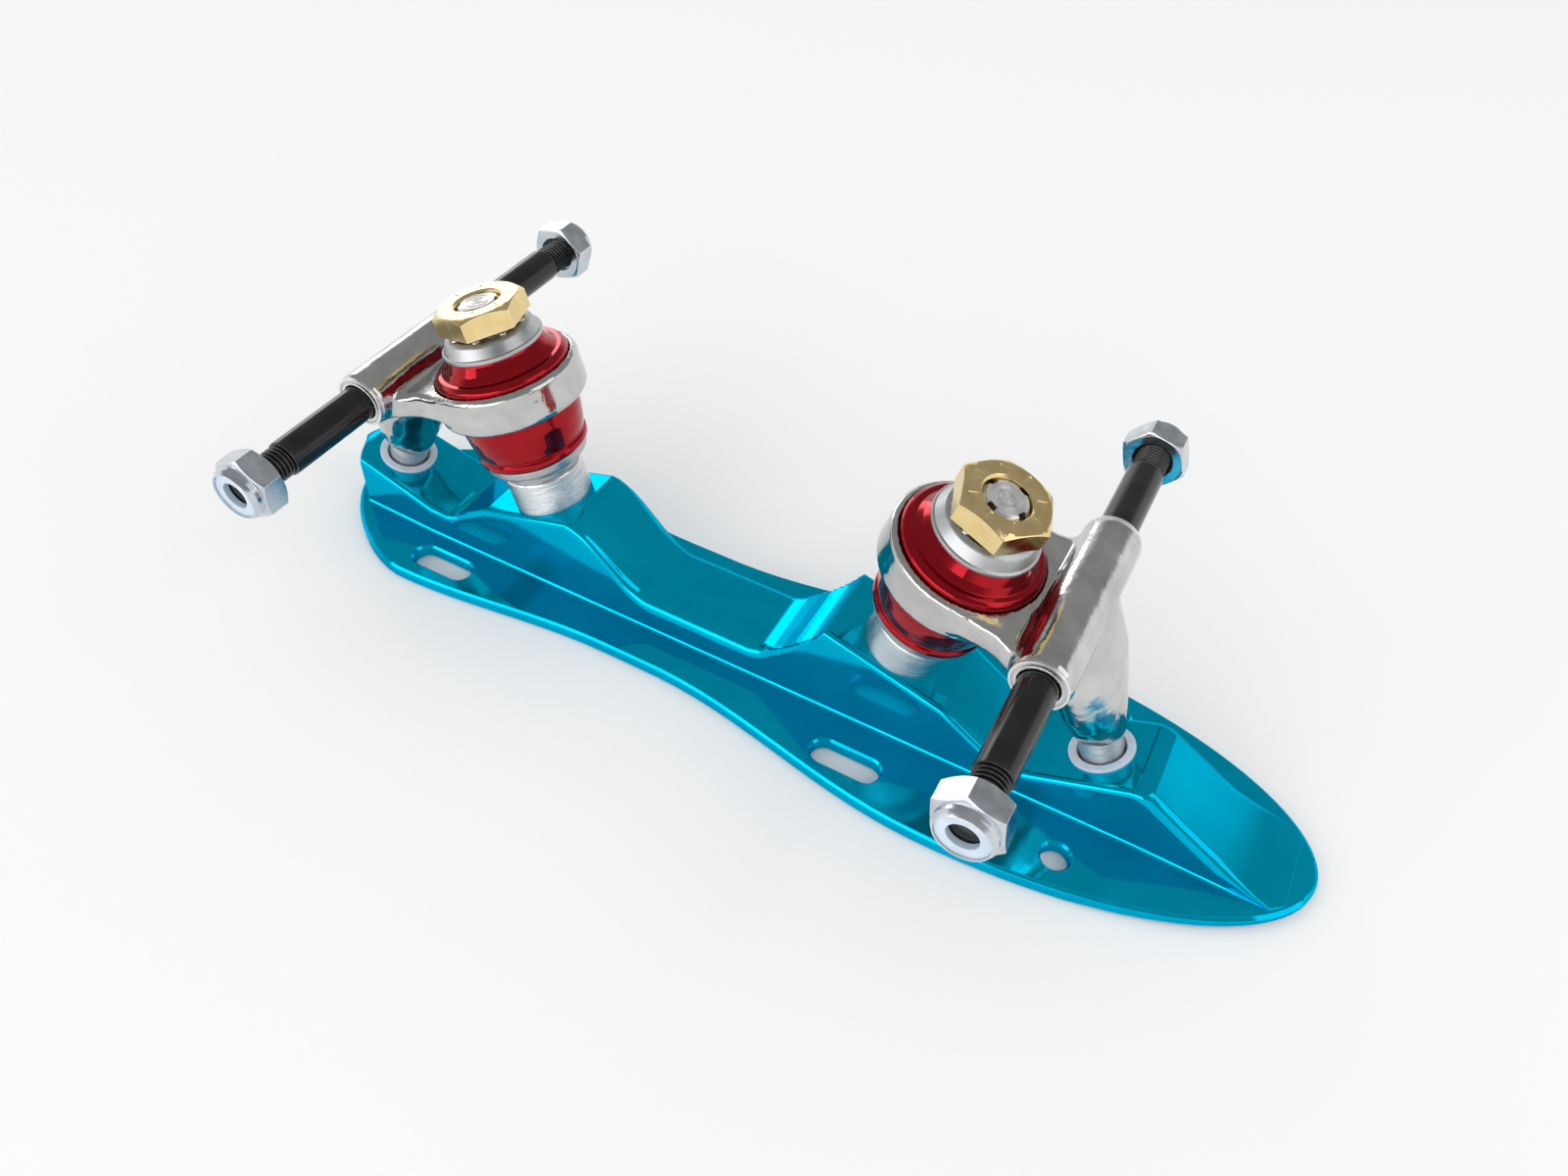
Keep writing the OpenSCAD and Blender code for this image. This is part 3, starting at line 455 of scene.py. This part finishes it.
# %% [markdown]
# ### Zinc plate
# Cup washers and lock nuts are zinc plated, which gives a cool, slightly blue silver with a soft bloom.
# The nuts are bright, and the cups were tumbled to a satin grey, so the same plating is made in two polishes.

# %% Zinc plate
def zinc_finish(name, dull, clear, smooth, rough):
    """Zinc plate between two greys and two roughnesses."""
    material, tree, shader, place = new_finish(name, Metallic=1.0)
    material["slot"] = "zinc_plate"
    smear = use_group(tree, smears, {"Vector": place}, {"Scale": 0.2})
    edge = use_group(tree, edge_highlight_and_wear, values={"Radius": 0.3 * MM})
    grain = node(tree, "TexNoise", {"Vector": place}, {"Scale": 2.4, "Detail": 3})
    plating = colour_between(tree, shader, smear.outputs["Amount"], dull, clear)
    # The edges are painted nearly white: a painted highlight along them.
    colour_edges(tree, shader, edge.outputs["Mask"], plating, (0.9, 0.93, 0.95))
    roughness_between(tree, shader, smear.outputs["Amount"], smooth, rough)
    bump_from(tree, shader, grain.outputs["Fac"], 0.012)
    return material


zinc = zinc_finish("zinc_bright", (0.52, 0.56, 0.60), (0.66, 0.70, 0.74), 0.12, 0.3)
satin = zinc_finish("zinc_satin", (0.44, 0.45, 0.46), (0.54, 0.55, 0.56), 0.3, 0.45)
print("finishes:", zinc.name, satin.name)

# %% [markdown]
# ### Black steel
# The axles are blackened and oiled: dark, with a soft gloss, and the crests of the thread are painted lighter
# as a painted highlight.
# The oxide is no bare metal, so the shader is a dark solid, and a thin coat stands for the oil.

# %% Black steel
blackened, tree, shader, place = new_finish("black_steel", turned=True, Coat_Weight=0.15,
                                            Coat_Roughness=0.04, Specular_IOR_Level=0.35)
smear = use_group(tree, smears, {"Vector": place}, {"Scale": 0.12})
edge = use_group(tree, edge_highlight_and_wear, values={"Radius": 0.15 * MM})
ring = use_group(tree, turned_rings, {"Vector": place}, {"Pitch": 0.3})
oxide = colour_between(tree, shader, smear.outputs["Amount"],
                       (0.006, 0.0062, 0.0064), (0.014, 0.0142, 0.0145))
# The crests and edges are painted a lighter grey: a painted highlight that lets the thread show.
colour_edges(tree, shader, edge.outputs["Mask"], oxide, (0.2, 0.2, 0.2))
roughness_between(tree, shader, smear.outputs["Amount"], 0.12, 0.26)
bump_from(tree, shader, ring.outputs["Height"], 0.004)
print("finish:", blackened.name)

# %% [markdown]
# ### Brass
# The adjusting nuts are cut from brass bar, so their faces are a pale gold with fine lines of the saw.
# They have tarnished a little in patches, and their edges are painted brighter: partly rubbed by hands and
# wrenches, partly a painted highlight.

# %% Brass
brass, tree, shader, place = new_finish("brass", Metallic=1.0)
smear = use_group(tree, smears, {"Vector": place}, {"Scale": 0.2})
edge = use_group(tree, edge_highlight_and_wear, values={"Radius": 0.35 * MM})
saw = use_group(tree, cut_lines, {"Vector": place}, {"Spacing": (2.5, 2.5, 0.4)})
tarnish = colour_between(tree, shader, smear.outputs["Amount"], (0.78, 0.59, 0.27), (0.90, 0.71, 0.36))
# The edges are painted a pale gold: partly wear, partly a painted highlight.
colour_edges(tree, shader, edge.outputs["Mask"], tarnish, (0.97, 0.86, 0.58))
roughness_between(tree, shader, smear.outputs["Amount"], 0.14, 0.26)
bump_from(tree, shader, saw.outputs["Height"], 0.02)
print("finish:", brass.name)

# %% [markdown]
# ### Urethane
# The cushions are cast in clear red urethane with a glossy skin that mirrors the studio in deep red.
# Light that goes in and comes back out could be traced, but that is slow and noisy in so dark a red.
# A mostly metallic shader under a thin clear coat gives the same tinted mirror.

# %% Urethane
urethane, tree, shader, place = new_finish("red_urethane", turned=True, Metallic=0.9, Coat_Weight=0.2,
                                           Coat_Roughness=0.04)
smear = use_group(tree, smears, {"Vector": place}, {"Scale": 0.14})
mould = use_group(tree, turned_rings, {"Vector": place}, {"Pitch": 0.9})
colour_between(tree, shader, smear.outputs["Amount"], (0.33, 0.002, 0.009), (0.42, 0.004, 0.013))
roughness_between(tree, shader, smear.outputs["Amount"], 0.06, 0.12)
bump_from(tree, shader, mould.outputs["Height"], 0.02)
print("finish:", urethane.name)

# %% [markdown]
# ### Nylon
# Pivot cups and the rings in the lock nuts are moulded in milky nylon, faintly blue beside the plate.
# A little subsurface scattering softens it, because light goes some way into nylon.

# %% Nylon
nylon, tree, shader, place = new_finish("nylon", Subsurface_Weight=0.15, Subsurface_Scale=0.6 * MM)
smear = use_group(tree, smears, {"Vector": place}, {"Scale": 0.25})
grain = node(tree, "TexNoise", {"Vector": place}, {"Scale": 1.6, "Detail": 3})
colour_between(tree, shader, smear.outputs["Amount"], (0.55, 0.66, 0.78), (0.66, 0.75, 0.84))
roughness_between(tree, shader, smear.outputs["Amount"], 0.32, 0.5)
bump_from(tree, shader, grain.outputs["Fac"], 0.02)
print("finish:", nylon.name)

# %% [markdown]
# ## Finishing a piece
# Each finished piece gets its material, hides the solid that it stands for, and rides on that solid's body.

# %% Helpers for finishing
FLAT = math.radians(0.5)


def dress(piece, material):
    """Give a piece one material, in place of any that it had."""
    piece.data.materials.clear()
    piece.data.materials.append(material)


def fit(piece, material, body, *solids):
    """Finish a rigid piece that stands for these solids."""
    dress(piece, material)
    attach(piece, body)
    if solids:
        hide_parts(*solids)
    print(piece.name, "rides on", body, "with", len(piece.data.polygons), "faces")


def copy_of(solid, name):
    """A copy of a solid's mesh, with its loose triangles merged into whole faces."""
    piece = nodes[solid].copy()
    piece.data = nodes[solid].data.copy()
    piece.name = name
    piece.parent = None
    for mark in list(piece.keys()):
        del piece[mark]
    bpy.context.scene.collection.objects.link(piece)
    pick(piece)
    bpy.ops.mesh.customdata_custom_splitnormals_clear()
    bpy.ops.object.mode_set(mode="EDIT")
    bpy.ops.mesh.select_all(action="SELECT")
    bpy.ops.mesh.remove_doubles(threshold=MERGE * MM)
    bpy.ops.mesh.dissolve_limited(angle_limit=FLAT)
    bpy.ops.object.mode_set(mode="OBJECT")
    return piece


print("helpers: dress, fit, copy_of")

# %% [markdown]
# ## The plate
# The plate was milled from one bar: a thin sole flange, and a spine with seats for kingpins and pivots.
# It could be modelled anew, but its solid already has the right form, so a copy of it is dressed.
# The narrow treads of the front slope are laid a little flatter, so that each step shows as a stripe.

# %% Plate: narrow treads
TREAD_ENDS, TREAD_FLOOR, TREAD_DROP = (8.73, 10.16, 11.59, 13.01), 15, 0.55
TREAD_REACH = 0.02
SPINE_HALF, SPINE_EDGE = 10.6, 1.6

plate = copy_of("plate", "plate_finished")
points = plate.data.vertices
lowered = 0
for point in points:
    at_end = min(abs(point.co.x / MM - x) for x in TREAD_ENDS) < TREAD_REACH
    if at_end and point.co.z > TREAD_FLOOR * MM:
        share = min(1, (SPINE_HALF - abs(point.co.y) / MM) / SPINE_EDGE)
        point.co.z -= TREAD_DROP * MM * share
        lowered += 1
plate.data.update()
print("points lowered on the treads:", lowered)

# %% [markdown]
# A mill leaves sharp edges, and a file breaks them.
# A bevel on every edge would be held back by the tightest spot of the whole plate.
# So only edges with room beside them get the bevel, and the risers of the milled steps stay crisp.

# %% Plate: edges
CUT_EDGE, STEP_EDGE, CORNER_EDGE = math.radians(8), math.radians(12), math.radians(38)
EDGE_BREAK, EDGE_ROOM = 0.3, 0.8
CROSSWISE = 0.9
REAL_NORMAL = 0.5
PLATE_SMOOTH = 30

sides, room = {}, {}
for face in plate.data.polygons:
    for key in face.edge_keys:
        sides.setdefault(key, []).append(face)
for line in plate.data.edges:
    length = (points[line.vertices[1]].co - points[line.vertices[0]].co).length
    for corner in line.vertices:
        room[corner] = min(length, room.get(corner, length))

broken, crisp = [], []
for line in plate.data.edges:
    faces = sides.get(line.key, [])
    if len(faces) != 2 or min(face.normal.length for face in faces) < REAL_NORMAL:
        continue
    bend = faces[0].normal.angle(faces[1].normal)
    run = points[line.vertices[1]].co - points[line.vertices[0]].co
    crosswise = abs(run.y) > CROSSWISE * run.length
    free = min(room[corner] for corner in line.vertices) > EDGE_ROOM * MM
    if free and (bend > CORNER_EDGE or (bend > CUT_EDGE and crosswise)):
        broken.append(line.index)
    elif crosswise and bend > STEP_EDGE:
        crisp.append(line.index)

weights = plate.data.attributes.new("bevel_weight_edge", "FLOAT", "EDGE").data
for index in broken:
    weights[index].value = 1
for index in crisp:
    plate.data.edges[index].use_edge_sharp = True
shape_with(plate, "BEVEL", limit_method="WEIGHT", width=EDGE_BREAK * MM, segments=3, use_clamp_overlap=True)
shade(plate, PLATE_SMOOTH)
fit(plate, anodised, "base", "plate")
print("edges of the plate:", len(broken), "broken,", len(crisp), "crisp")

# %% [markdown]
# ## Hangers
# A hanger is one casting: a ring for the cushions, two arms, a boss for the axle and a leg for the pivot.
# Castings have no sharp inner corners, so the copy is remeshed and relaxed, which turns corners into fillets.
# The arm flares towards the ends of the boss, so a block is set into each corner before the remesh.
# It was dressed by hand into a smooth saddle, so between ring and boss the mesh is relaxed further.

# %% Hangers
CAST_GRAIN = 0.4
RELAX, RELAX_ALL, RELAX_ARMS = 0.5, 5, 60
RING_SIDE, BOSS_SIDE, ARM_HALF = 17.4, 2, 20.5
RING_MID, ARM_LIFT = 30.75, math.radians(5.75)
FLARE_AT, FLARE_SIZE, FLARE_TURN = Vector((18.2, 16.1, 0.6)), (12.9, 5, 5.4), math.radians(23.7)


def flare(truck, side):
    """A block that widens the arm towards the end of the boss."""
    out = OUTWARD[truck]
    block = primitive(bpy.ops.mesh.primitive_cube_add, size=MM)
    lift = Matrix.Translation((0, 0, RING_MID * MM)) @ Matrix.Rotation(-out * ARM_LIFT, 4, "Y")
    place = Matrix.Translation(Vector((out * FLARE_AT.x, side * FLARE_AT.y, FLARE_AT.z)) * MM)
    turned = Matrix.Rotation(out * side * FLARE_TURN, 4, "Z")
    size = Matrix.Diagonal((*FLARE_SIZE, 1))
    return stand(block, kingpin_place(truck) @ lift @ place @ turned @ size)


for truck in TRUCKS:
    casting = copy_of(truck + "_hanger", "casting")
    hanger = joined(truck + "_hanger_finished", casting, flare(truck, 1), flare(truck, -1))
    shape_with(hanger, "REMESH", mode="VOXEL", voxel_size=CAST_GRAIN * MM, use_smooth_shade=True)
    arms = hanger.vertex_groups.new(name="arms")
    to_kingpin = kingpin_place(truck).inverted()
    for point in hanger.data.vertices:
        local = to_kingpin @ point.co
        inward = OUTWARD[truck] * (AXLE_X[truck] * MM - point.co.x)
        beside = math.hypot(local.x, local.y) > RING_SIDE * MM and inward > BOSS_SIDE * MM
        if beside and abs(point.co.y) < ARM_HALF * MM:
            arms.add([point.index], 1, "REPLACE")
    shape_with(hanger, "SMOOTH", factor=RELAX, iterations=RELAX_ALL)
    shape_with(hanger, "SMOOTH", factor=RELAX, iterations=RELAX_ARMS, vertex_group="arms")
    hanger.vertex_groups.clear()
    fit(hanger, polished, truck + "_truck", truck + "_hanger")

# %% [markdown]
# The ends of the boss are faced on a lathe: a bright rim, a groove, and a sleeve round the axle.
# The remeshed casting is too coarse for that groove, so each end gets a turned ring of its own.

# %% Boss ends
BOSS_RING_START, BOSS_GROOVE, BOSS_END = 20.7, 21.5, 22.25
boss_end_profile = rounded([
    (4.25, BOSS_RING_START, 0), (5.85, BOSS_RING_START, 0.1), (5.9, BOSS_END, 0.35), (5.3, BOSS_END, 0.1),
    (5.2, BOSS_GROOVE, 0.1), (4.85, BOSS_GROOVE, 0.1), (4.75, BOSS_END, 0.12), (4.25, BOSS_END, 0.1)])
for truck in TRUCKS:
    ends = []
    for side, flip in (("near", math.pi), ("far", 0)):
        ring = turn(truck + "_boss_end_" + side, boss_end_profile)
        ends.append(stand(ring, axle_place(truck) @ Matrix.Rotation(flip, 4, "X")))
    faced = joined(truck + "_boss_ends", *ends)
    shade(faced)
    fit(faced, bright, truck + "_truck")

# %% [markdown]
# ## Kingpins
# A kingpin screws into the plate, stands on a polished shoulder, and ends flush with the nut.
# Stud and shoulder are turned. Four grooves for a key run down the end, and bars cut them with a boolean.

# %% Kingpins
SHOULDER_R, SHOULDER_H = 9.35, 8.6
SHOULDER_BORE = 4
KINGPIN_R, KINGPIN_START, KINGPIN_END = 5, -14, 50.5
END_BREAK, END_BREAK_H = 0.7, 0.9
GROOVES, GROOVE_W, GROOVE_DEPTH, GROOVE_LEN = 4, 1.9, 1.2, 12
GROOVE_TURN = {"front": 66, "rear": 29}
CUT_PAST = 1
shoulder_profile = rounded([
    (SHOULDER_BORE, 0, 0), (SHOULDER_R, 0, 0.2),
    (SHOULDER_R, SHOULDER_H, 0.7), (SHOULDER_BORE, SHOULDER_H, 0)])
stud_profile = rounded([
    (0, KINGPIN_START, 0), (KINGPIN_R, KINGPIN_START, 0.3), (KINGPIN_R, KINGPIN_END - END_BREAK_H, 0.3),
    (KINGPIN_R - END_BREAK, KINGPIN_END, 0.2), (0, KINGPIN_END, 0)], closed=False)


def groove_cutter(first_turn):
    """Bars that cut the click grooves, the first one turned by that many degrees."""
    size = Matrix.Diagonal((2 * (GROOVE_DEPTH + CUT_PAST), GROOVE_W, GROOVE_LEN + 2 * CUT_PAST, 1))
    middle = Vector((KINGPIN_R + CUT_PAST, 0, KINGPIN_END - GROOVE_LEN / 2 + CUT_PAST))
    bars = []
    for k in range(GROOVES):
        bar = primitive(bpy.ops.mesh.primitive_cube_add, size=MM)
        turned = Matrix.Rotation(math.radians(first_turn + 360 * k / GROOVES), 4, "Z")
        bars.append(stand(bar, turned @ Matrix.Translation(middle * MM) @ size))
    return joined("groove_cutter", *bars)


for truck in TRUCKS:
    shoulder = turn(truck + "_shoulder", shoulder_profile)
    stud = turn(truck + "_stud", stud_profile, closed=False)
    cutter = groove_cutter(GROOVE_TURN[truck])
    shape_with(stud, "BOOLEAN", object=cutter, operation="DIFFERENCE", solver="EXACT")
    bpy.data.objects.remove(cutter)
    kingpin = joined(truck + "_kingpin_finished", stud, shoulder)
    kingpin.data.attributes.remove(kingpin.data.attributes["turned"])
    keep_turning_place(kingpin)
    stand(kingpin, kingpin_place(truck))
    shade(kingpin)
    fit(kingpin, bright, "base", truck + "_kingpin")

# %% [markdown]
# ## Cup washers
# A cup washer is a turned dish that holds a cushion's end.
# The upper one carries round lugs that click under the nut.
# Each lug is the top of a sphere, stretched a little outwards and sunk into the cup.

# %% Cup washers
LUGS, LUG_R, LUG_HIGH, LUG_SIZE = 8, 7.3, 45.5, (1.5, 1, 1)
CUP_BORE = 5.05
lower_cup_profile = rounded([
    (CUP_BORE, SHOULDER_H, 0.1), (8.85, SHOULDER_H, 0.2), (8.95, 9.7, 0.5), (10.4, 10.7, 1.5),
    (11.9, 11.7, 0.8), (12.1, 13.6, 0.3), (11.4, 13.6, 0.2), (11.4, 12.6, 0.2), (CUP_BORE, 12.6, 0.1)])
upper_cup_profile = rounded([
    (CUP_BORE, 41.8, 0.1), (10.7, 41.8, 0.2), (10.7, 40.8, 0.1), (11.4, 40.8, 0.25), (11.4, 41.7, 0.25),
    (10.9, 41.9, 0.1), (10.7, 42.3, 0.5), (9.7, 44.2, 1.2), (8.6, 44.8, 0.6), (CUP_BORE, 44.8, 0.2)])


def lug(k):
    """One click lug, at its place round the cup."""
    dome = primitive(bpy.ops.mesh.primitive_uv_sphere_add, radius=MM, segments=24, ring_count=12)
    turned = Matrix.Rotation(2 * math.pi * (k + 0.5) / LUGS, 4, "Z")
    lift = Matrix.Translation(Vector((LUG_R, 0, LUG_HIGH - LUG_SIZE[2])) * MM)
    return stand(dome, turned @ lift @ Matrix.Diagonal((*LUG_SIZE, 1)))


for truck in TRUCKS:
    lower = turn(truck + "_lower_cup_finished", lower_cup_profile)
    shade(stand(lower, kingpin_place(truck)))
    fit(lower, satin, "base", truck + "_lower_cup")
    dish = turn("dish", upper_cup_profile)
    upper = joined(truck + "_upper_cup_finished", dish, *[lug(k) for k in range(LUGS)])
    shade(stand(upper, kingpin_place(truck)))
    fit(upper, satin, truck + "_cup", truck + "_upper_cup")

# %% [markdown]
# ## Cushions
# Two urethane cushions clamp the hanger's ring, and they bend when the truck steers.
# Each is turned like its mould: the lower one a barrel with a lip, the upper one a cone with a rolled rim.
# Their ends meet the cup on one side and the hanger on the other; each stays where it is turned, on neither
# body.
# Inside the upper cup a hidden gap of half a millimetre lets the nut press the cup down.

# %% Cushions
CUSHION_LOW, WEB_LOW, WEB_HIGH, CUSHION_TOP = 12.6, 28.8, 32.7, 41.25
CUSHION_BORE = 5.3
LOWER_BEND, UPPER_BEND = (14, WEB_LOW - 1), (36.5, CUSHION_TOP)
CUSHION_SMOOTH = 50
lower_cushion_profile = rounded([
    (CUSHION_BORE, CUSHION_LOW, 0.2), (11.1, CUSHION_LOW, 0.2), (11.2, 13.9, 0.1), (12.6, 13.9, 0.3),
    (13, 14.5, 0.6), (13, 15.6, 0.6), (12.5, 16.1, 0.3), (12.75, 16.6, 0.4), (13.3, 18.6, 4), (13.8, 22, 8),
    (13.9, 26.5, 3), (13.5, WEB_LOW, 0.8), (CUSHION_BORE, WEB_LOW, 0.2)])
upper_cushion_profile = rounded([
    (CUSHION_BORE, WEB_HIGH, 0.2), (14.5, WEB_HIGH, 0.3), (15.3, 33.4, 0.4), (15.3, 36.2, 1.5),
    (14.2, 37.05, 0.7), (13.1, 37.1, 0.5), (11.9, 38.3, 2.5), (10.45, 40.15, 0.8),
    (10.35, CUSHION_TOP, 0.2), (CUSHION_BORE, CUSHION_TOP, 0.2)])


for truck in TRUCKS:
    for name, profile, bodies, (start, end) in (
            ("lower", lower_cushion_profile, ("base", truck + "_truck"), LOWER_BEND),
            ("upper", upper_cushion_profile, (truck + "_truck", "base"), UPPER_BEND)):
        cushion = turn(f"{truck}_{name}_cushion_finished", profile)
        shade(stand(cushion, kingpin_place(truck)), CUSHION_SMOOTH)
        dress(cushion, urethane)
        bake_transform(cushion)
        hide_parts(f"{truck}_{name}_cushion")
        print(cushion.name, "bends between", *bodies)

# %% [markdown]
# ## Nuts
# The brass nut sets the cushions' preload, and its face carries eight scribed lines for counting clicks.
# The lock nuts hold the wheels, with a crimped collar round a nylon ring.
# Their solids already have the chamfered hexagons, so copies of them only get their edges eased.

# %% Nuts and nylon rings
EASED_FROM, NUT_SMOOTH = math.radians(30), 40


def eased_copy(solid, width):
    """A copy of a solid with its sharp edges eased by a bevel of that width in millimetres."""
    piece = copy_of(solid, solid + "_finished")
    shape_with(piece, "BEVEL", width=width * MM, segments=2, limit_method="ANGLE",
               angle_limit=EASED_FROM, use_clamp_overlap=True)
    shade(piece, NUT_SMOOTH)
    return piece


for truck in TRUCKS:
    fit(eased_copy(truck + "_kingpin_nut", 0.12), brass, truck + "_nut", truck + "_kingpin_nut")
    fit(eased_copy(truck + "_axle_nuts", 0.2), zinc, truck + "_truck", truck + "_axle_nuts")
    fit(eased_copy(truck + "_nut_inserts", 0.15), nylon, truck + "_truck", truck + "_nut_inserts")

# %% [markdown]
# ## Axles
# An axle is a plain bar for the bearings with a thread at each end.
# A Screw modifier could wind a helix, but at this size rings look the same, so the ridges are in the profile.

# %% Axles
AXLE_R, AXLE_SHOULDER, AXLE_END = 4, 45, 56.6
THREAD_R, THREAD_ROOT, PITCH = 3.6, 2.95, 1
THREADS, THREAD_BREAK = 11, 0.05
RIDGE = ((THREAD_ROOT, 0.15), (THREAD_R, 0.42), (THREAD_R, 0.58), (THREAD_ROOT, 0.85))
half_axle = [(AXLE_R, 0, 0), (AXLE_R, AXLE_SHOULDER, 0.5), (THREAD_ROOT, AXLE_SHOULDER + 0.1, 0.1)]
for k in range(THREADS):
    low = AXLE_SHOULDER + k * PITCH
    half_axle += [(size, low + share * PITCH, THREAD_BREAK) for size, share in RIDGE]
half_axle += [(THREAD_ROOT, AXLE_END, 0.3), (0, AXLE_END, 0)]
far_half = [(r, -h, size) for r, h, size in half_axle]
axle_profile = rounded(far_half[:0:-1] + half_axle[1:], closed=False, steps=2)
for truck in TRUCKS:
    axle = turn(truck + "_axle_finished", axle_profile, closed=False)
    shade(stand(axle, axle_place(truck)))
    fit(axle, blackened, truck + "_truck", truck + "_axle")

# %% [markdown]
# ## Pivots
# The leg of each hanger ends in a steel pin with a round tip, which rocks in a nylon cup in the plate.
# Tip and socket could be spheres cut in half, but as arcs in a profile they are turned with the rest.

# %% Pivot pins and cups
PIN_R, PIN_LEN, SOCKET_R = 4.7, 16, 5
CUP_R, CUP_DEPTH, FLANGE_R, FLANGE_TOP, FLANGE_SEAT = 6, 8, 7, 0.8, 0.02
ARC_STEPS = 10


def half_ball(size):
    """The profile of a ball's lower half, from its bottom to its side."""
    angles = [math.pi / 2 * k / ARC_STEPS for k in range(ARC_STEPS + 1)]
    return [(size * math.sin(a), -size * math.cos(a), 0) for a in angles]


pin_profile = rounded(half_ball(PIN_R) + [(PIN_R, PIN_LEN, 0), (0, PIN_LEN, 0)], closed=False)
cup_profile = rounded(half_ball(SOCKET_R) + [
    (5.3, FLANGE_TOP, 0.3), (FLANGE_R, FLANGE_TOP, 0.3), (FLANGE_R, FLANGE_SEAT, 0.1),
    (CUP_R, FLANGE_SEAT, 0), (CUP_R, -CUP_DEPTH, 0.4), (0, -CUP_DEPTH, 0)], closed=False)
for truck in TRUCKS:
    pin = turn(truck + "_pivot_pin_finished", pin_profile, closed=False)
    shade(stand(pin, pivot_place(truck, LEG_TILT)))
    fit(pin, bright, truck + "_truck", truck + "_pivot_pin")
    cup = turn(truck + "_pivot_cup_finished", cup_profile, closed=False)
    shade(stand(cup, pivot_place(truck, PIVOT_SLOPE[truck])))
    fit(cup, nylon, "base", truck + "_pivot_cup")

# %% [markdown]
# ## Floor, light and surroundings
# The photograph has a white ground, so the floor is a pale plane and the world is white where it is seen.
# Bright metal shows what surrounds it: white walls, lamps, and a dim ceiling that gives depth.
# An image of a studio could do this, but a gradient over the height of the view needs no file.

# %% Floor and world
WALL_TOP, CEILING_FROM, CEILING = 0.22, 0.45, 0.34
DOME = 0.78
FLOOR_SIZE, FLOOR_GAP = 2.8, 0.3

floor = primitive(bpy.ops.mesh.primitive_plane_add, size=FLOOR_SIZE, location=(0, 0, -FLOOR_GAP * MM))
floor.name = "floor"
floor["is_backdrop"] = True
paper, tree, shader, place = new_finish("paper", Roughness=0.9)
shader.inputs["Base Color"].default_value = (0.98, 0.98, 0.98, 1)
floor.data.materials.append(paper)

world = bpy.data.worlds.new("studio")
bpy.context.scene.world = world
world.use_nodes = True
tree = world.node_tree
ground = tree.nodes["Background"]
ground.inputs["Color"].default_value = (1, 1, 1, 1)
ray = node(tree, "LightPath")
towards = node(tree, "TexCoord")
height = node(tree, "SeparateXYZ", {0: towards.outputs["Generated"]})
room = node(tree, "MapRange", {"Value": height.outputs["Z"]},
            {"From Min": WALL_TOP, "From Max": CEILING_FROM, "To Min": 1, "To Max": CEILING},
            interpolation_type="SMOOTHSTEP")
mirrored = node(tree, "Math", {0: ray.outputs["Is Glossy Ray"], 1: ray.outputs["Is Transmission Ray"]},
                operation="MAXIMUM")
unseen = node(tree, "Mix", {0: mirrored.outputs["Value"], 3: room.outputs["Result"]}, data_type="FLOAT")
unseen.inputs[2].default_value = DOME
shown = node(tree, "Mix", {0: ray.outputs["Is Camera Ray"], 2: unseen.outputs[0]}, data_type="FLOAT")
shown.inputs[3].default_value = 1
tree.links.new(shown.outputs[0], ground.inputs["Strength"])
print("floor and world are white, the ceiling", CEILING)

# %% [markdown]
# The photograph was lit softly from the camera's side, with weaker light from the toe and behind the heel.
# Large rectangular area lamps do that, and their shapes show in the metal as softboxes would.

# %% Lamps
SOFTBOXES = (("key", (-0.45, -1.5, 0.6), 11, 2.4, 0.8), ("fill", (1.4, 0.1, 1.1), 5, 1.2, 1.2),
             ("rim", (-1.5, 1.15, 0.35), 2.8, 0.9, 0.6))
LAMP_AIM = Vector((0, 0, 0.02))
for name, place, watts, wide, high in SOFTBOXES:
    bpy.ops.object.light_add(type="AREA")
    lamp = bpy.context.object
    lamp.name = name
    lamp.data.shape = "RECTANGLE"
    lamp.data.energy, lamp.data.size, lamp.data.size_y = watts, wide, high
    lamp.location = place
    lamp.rotation_euler = (LAMP_AIM - Vector(place)).to_track_quat("-Z", "Y").to_euler()
    print("lamp", name, watts, "W, glow", round(watts / (math.pi * wide * high), 2))

# %% [markdown]
# ## The size and finishing
# The dressed object is meant to stay inside the box of the solids, so its size is printed at the end.

# %% Size and finish
bpy.context.scene.view_settings.view_transform = "Standard"
low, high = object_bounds()
print("dressed", [round(v / MM, 2) for v in high - low])
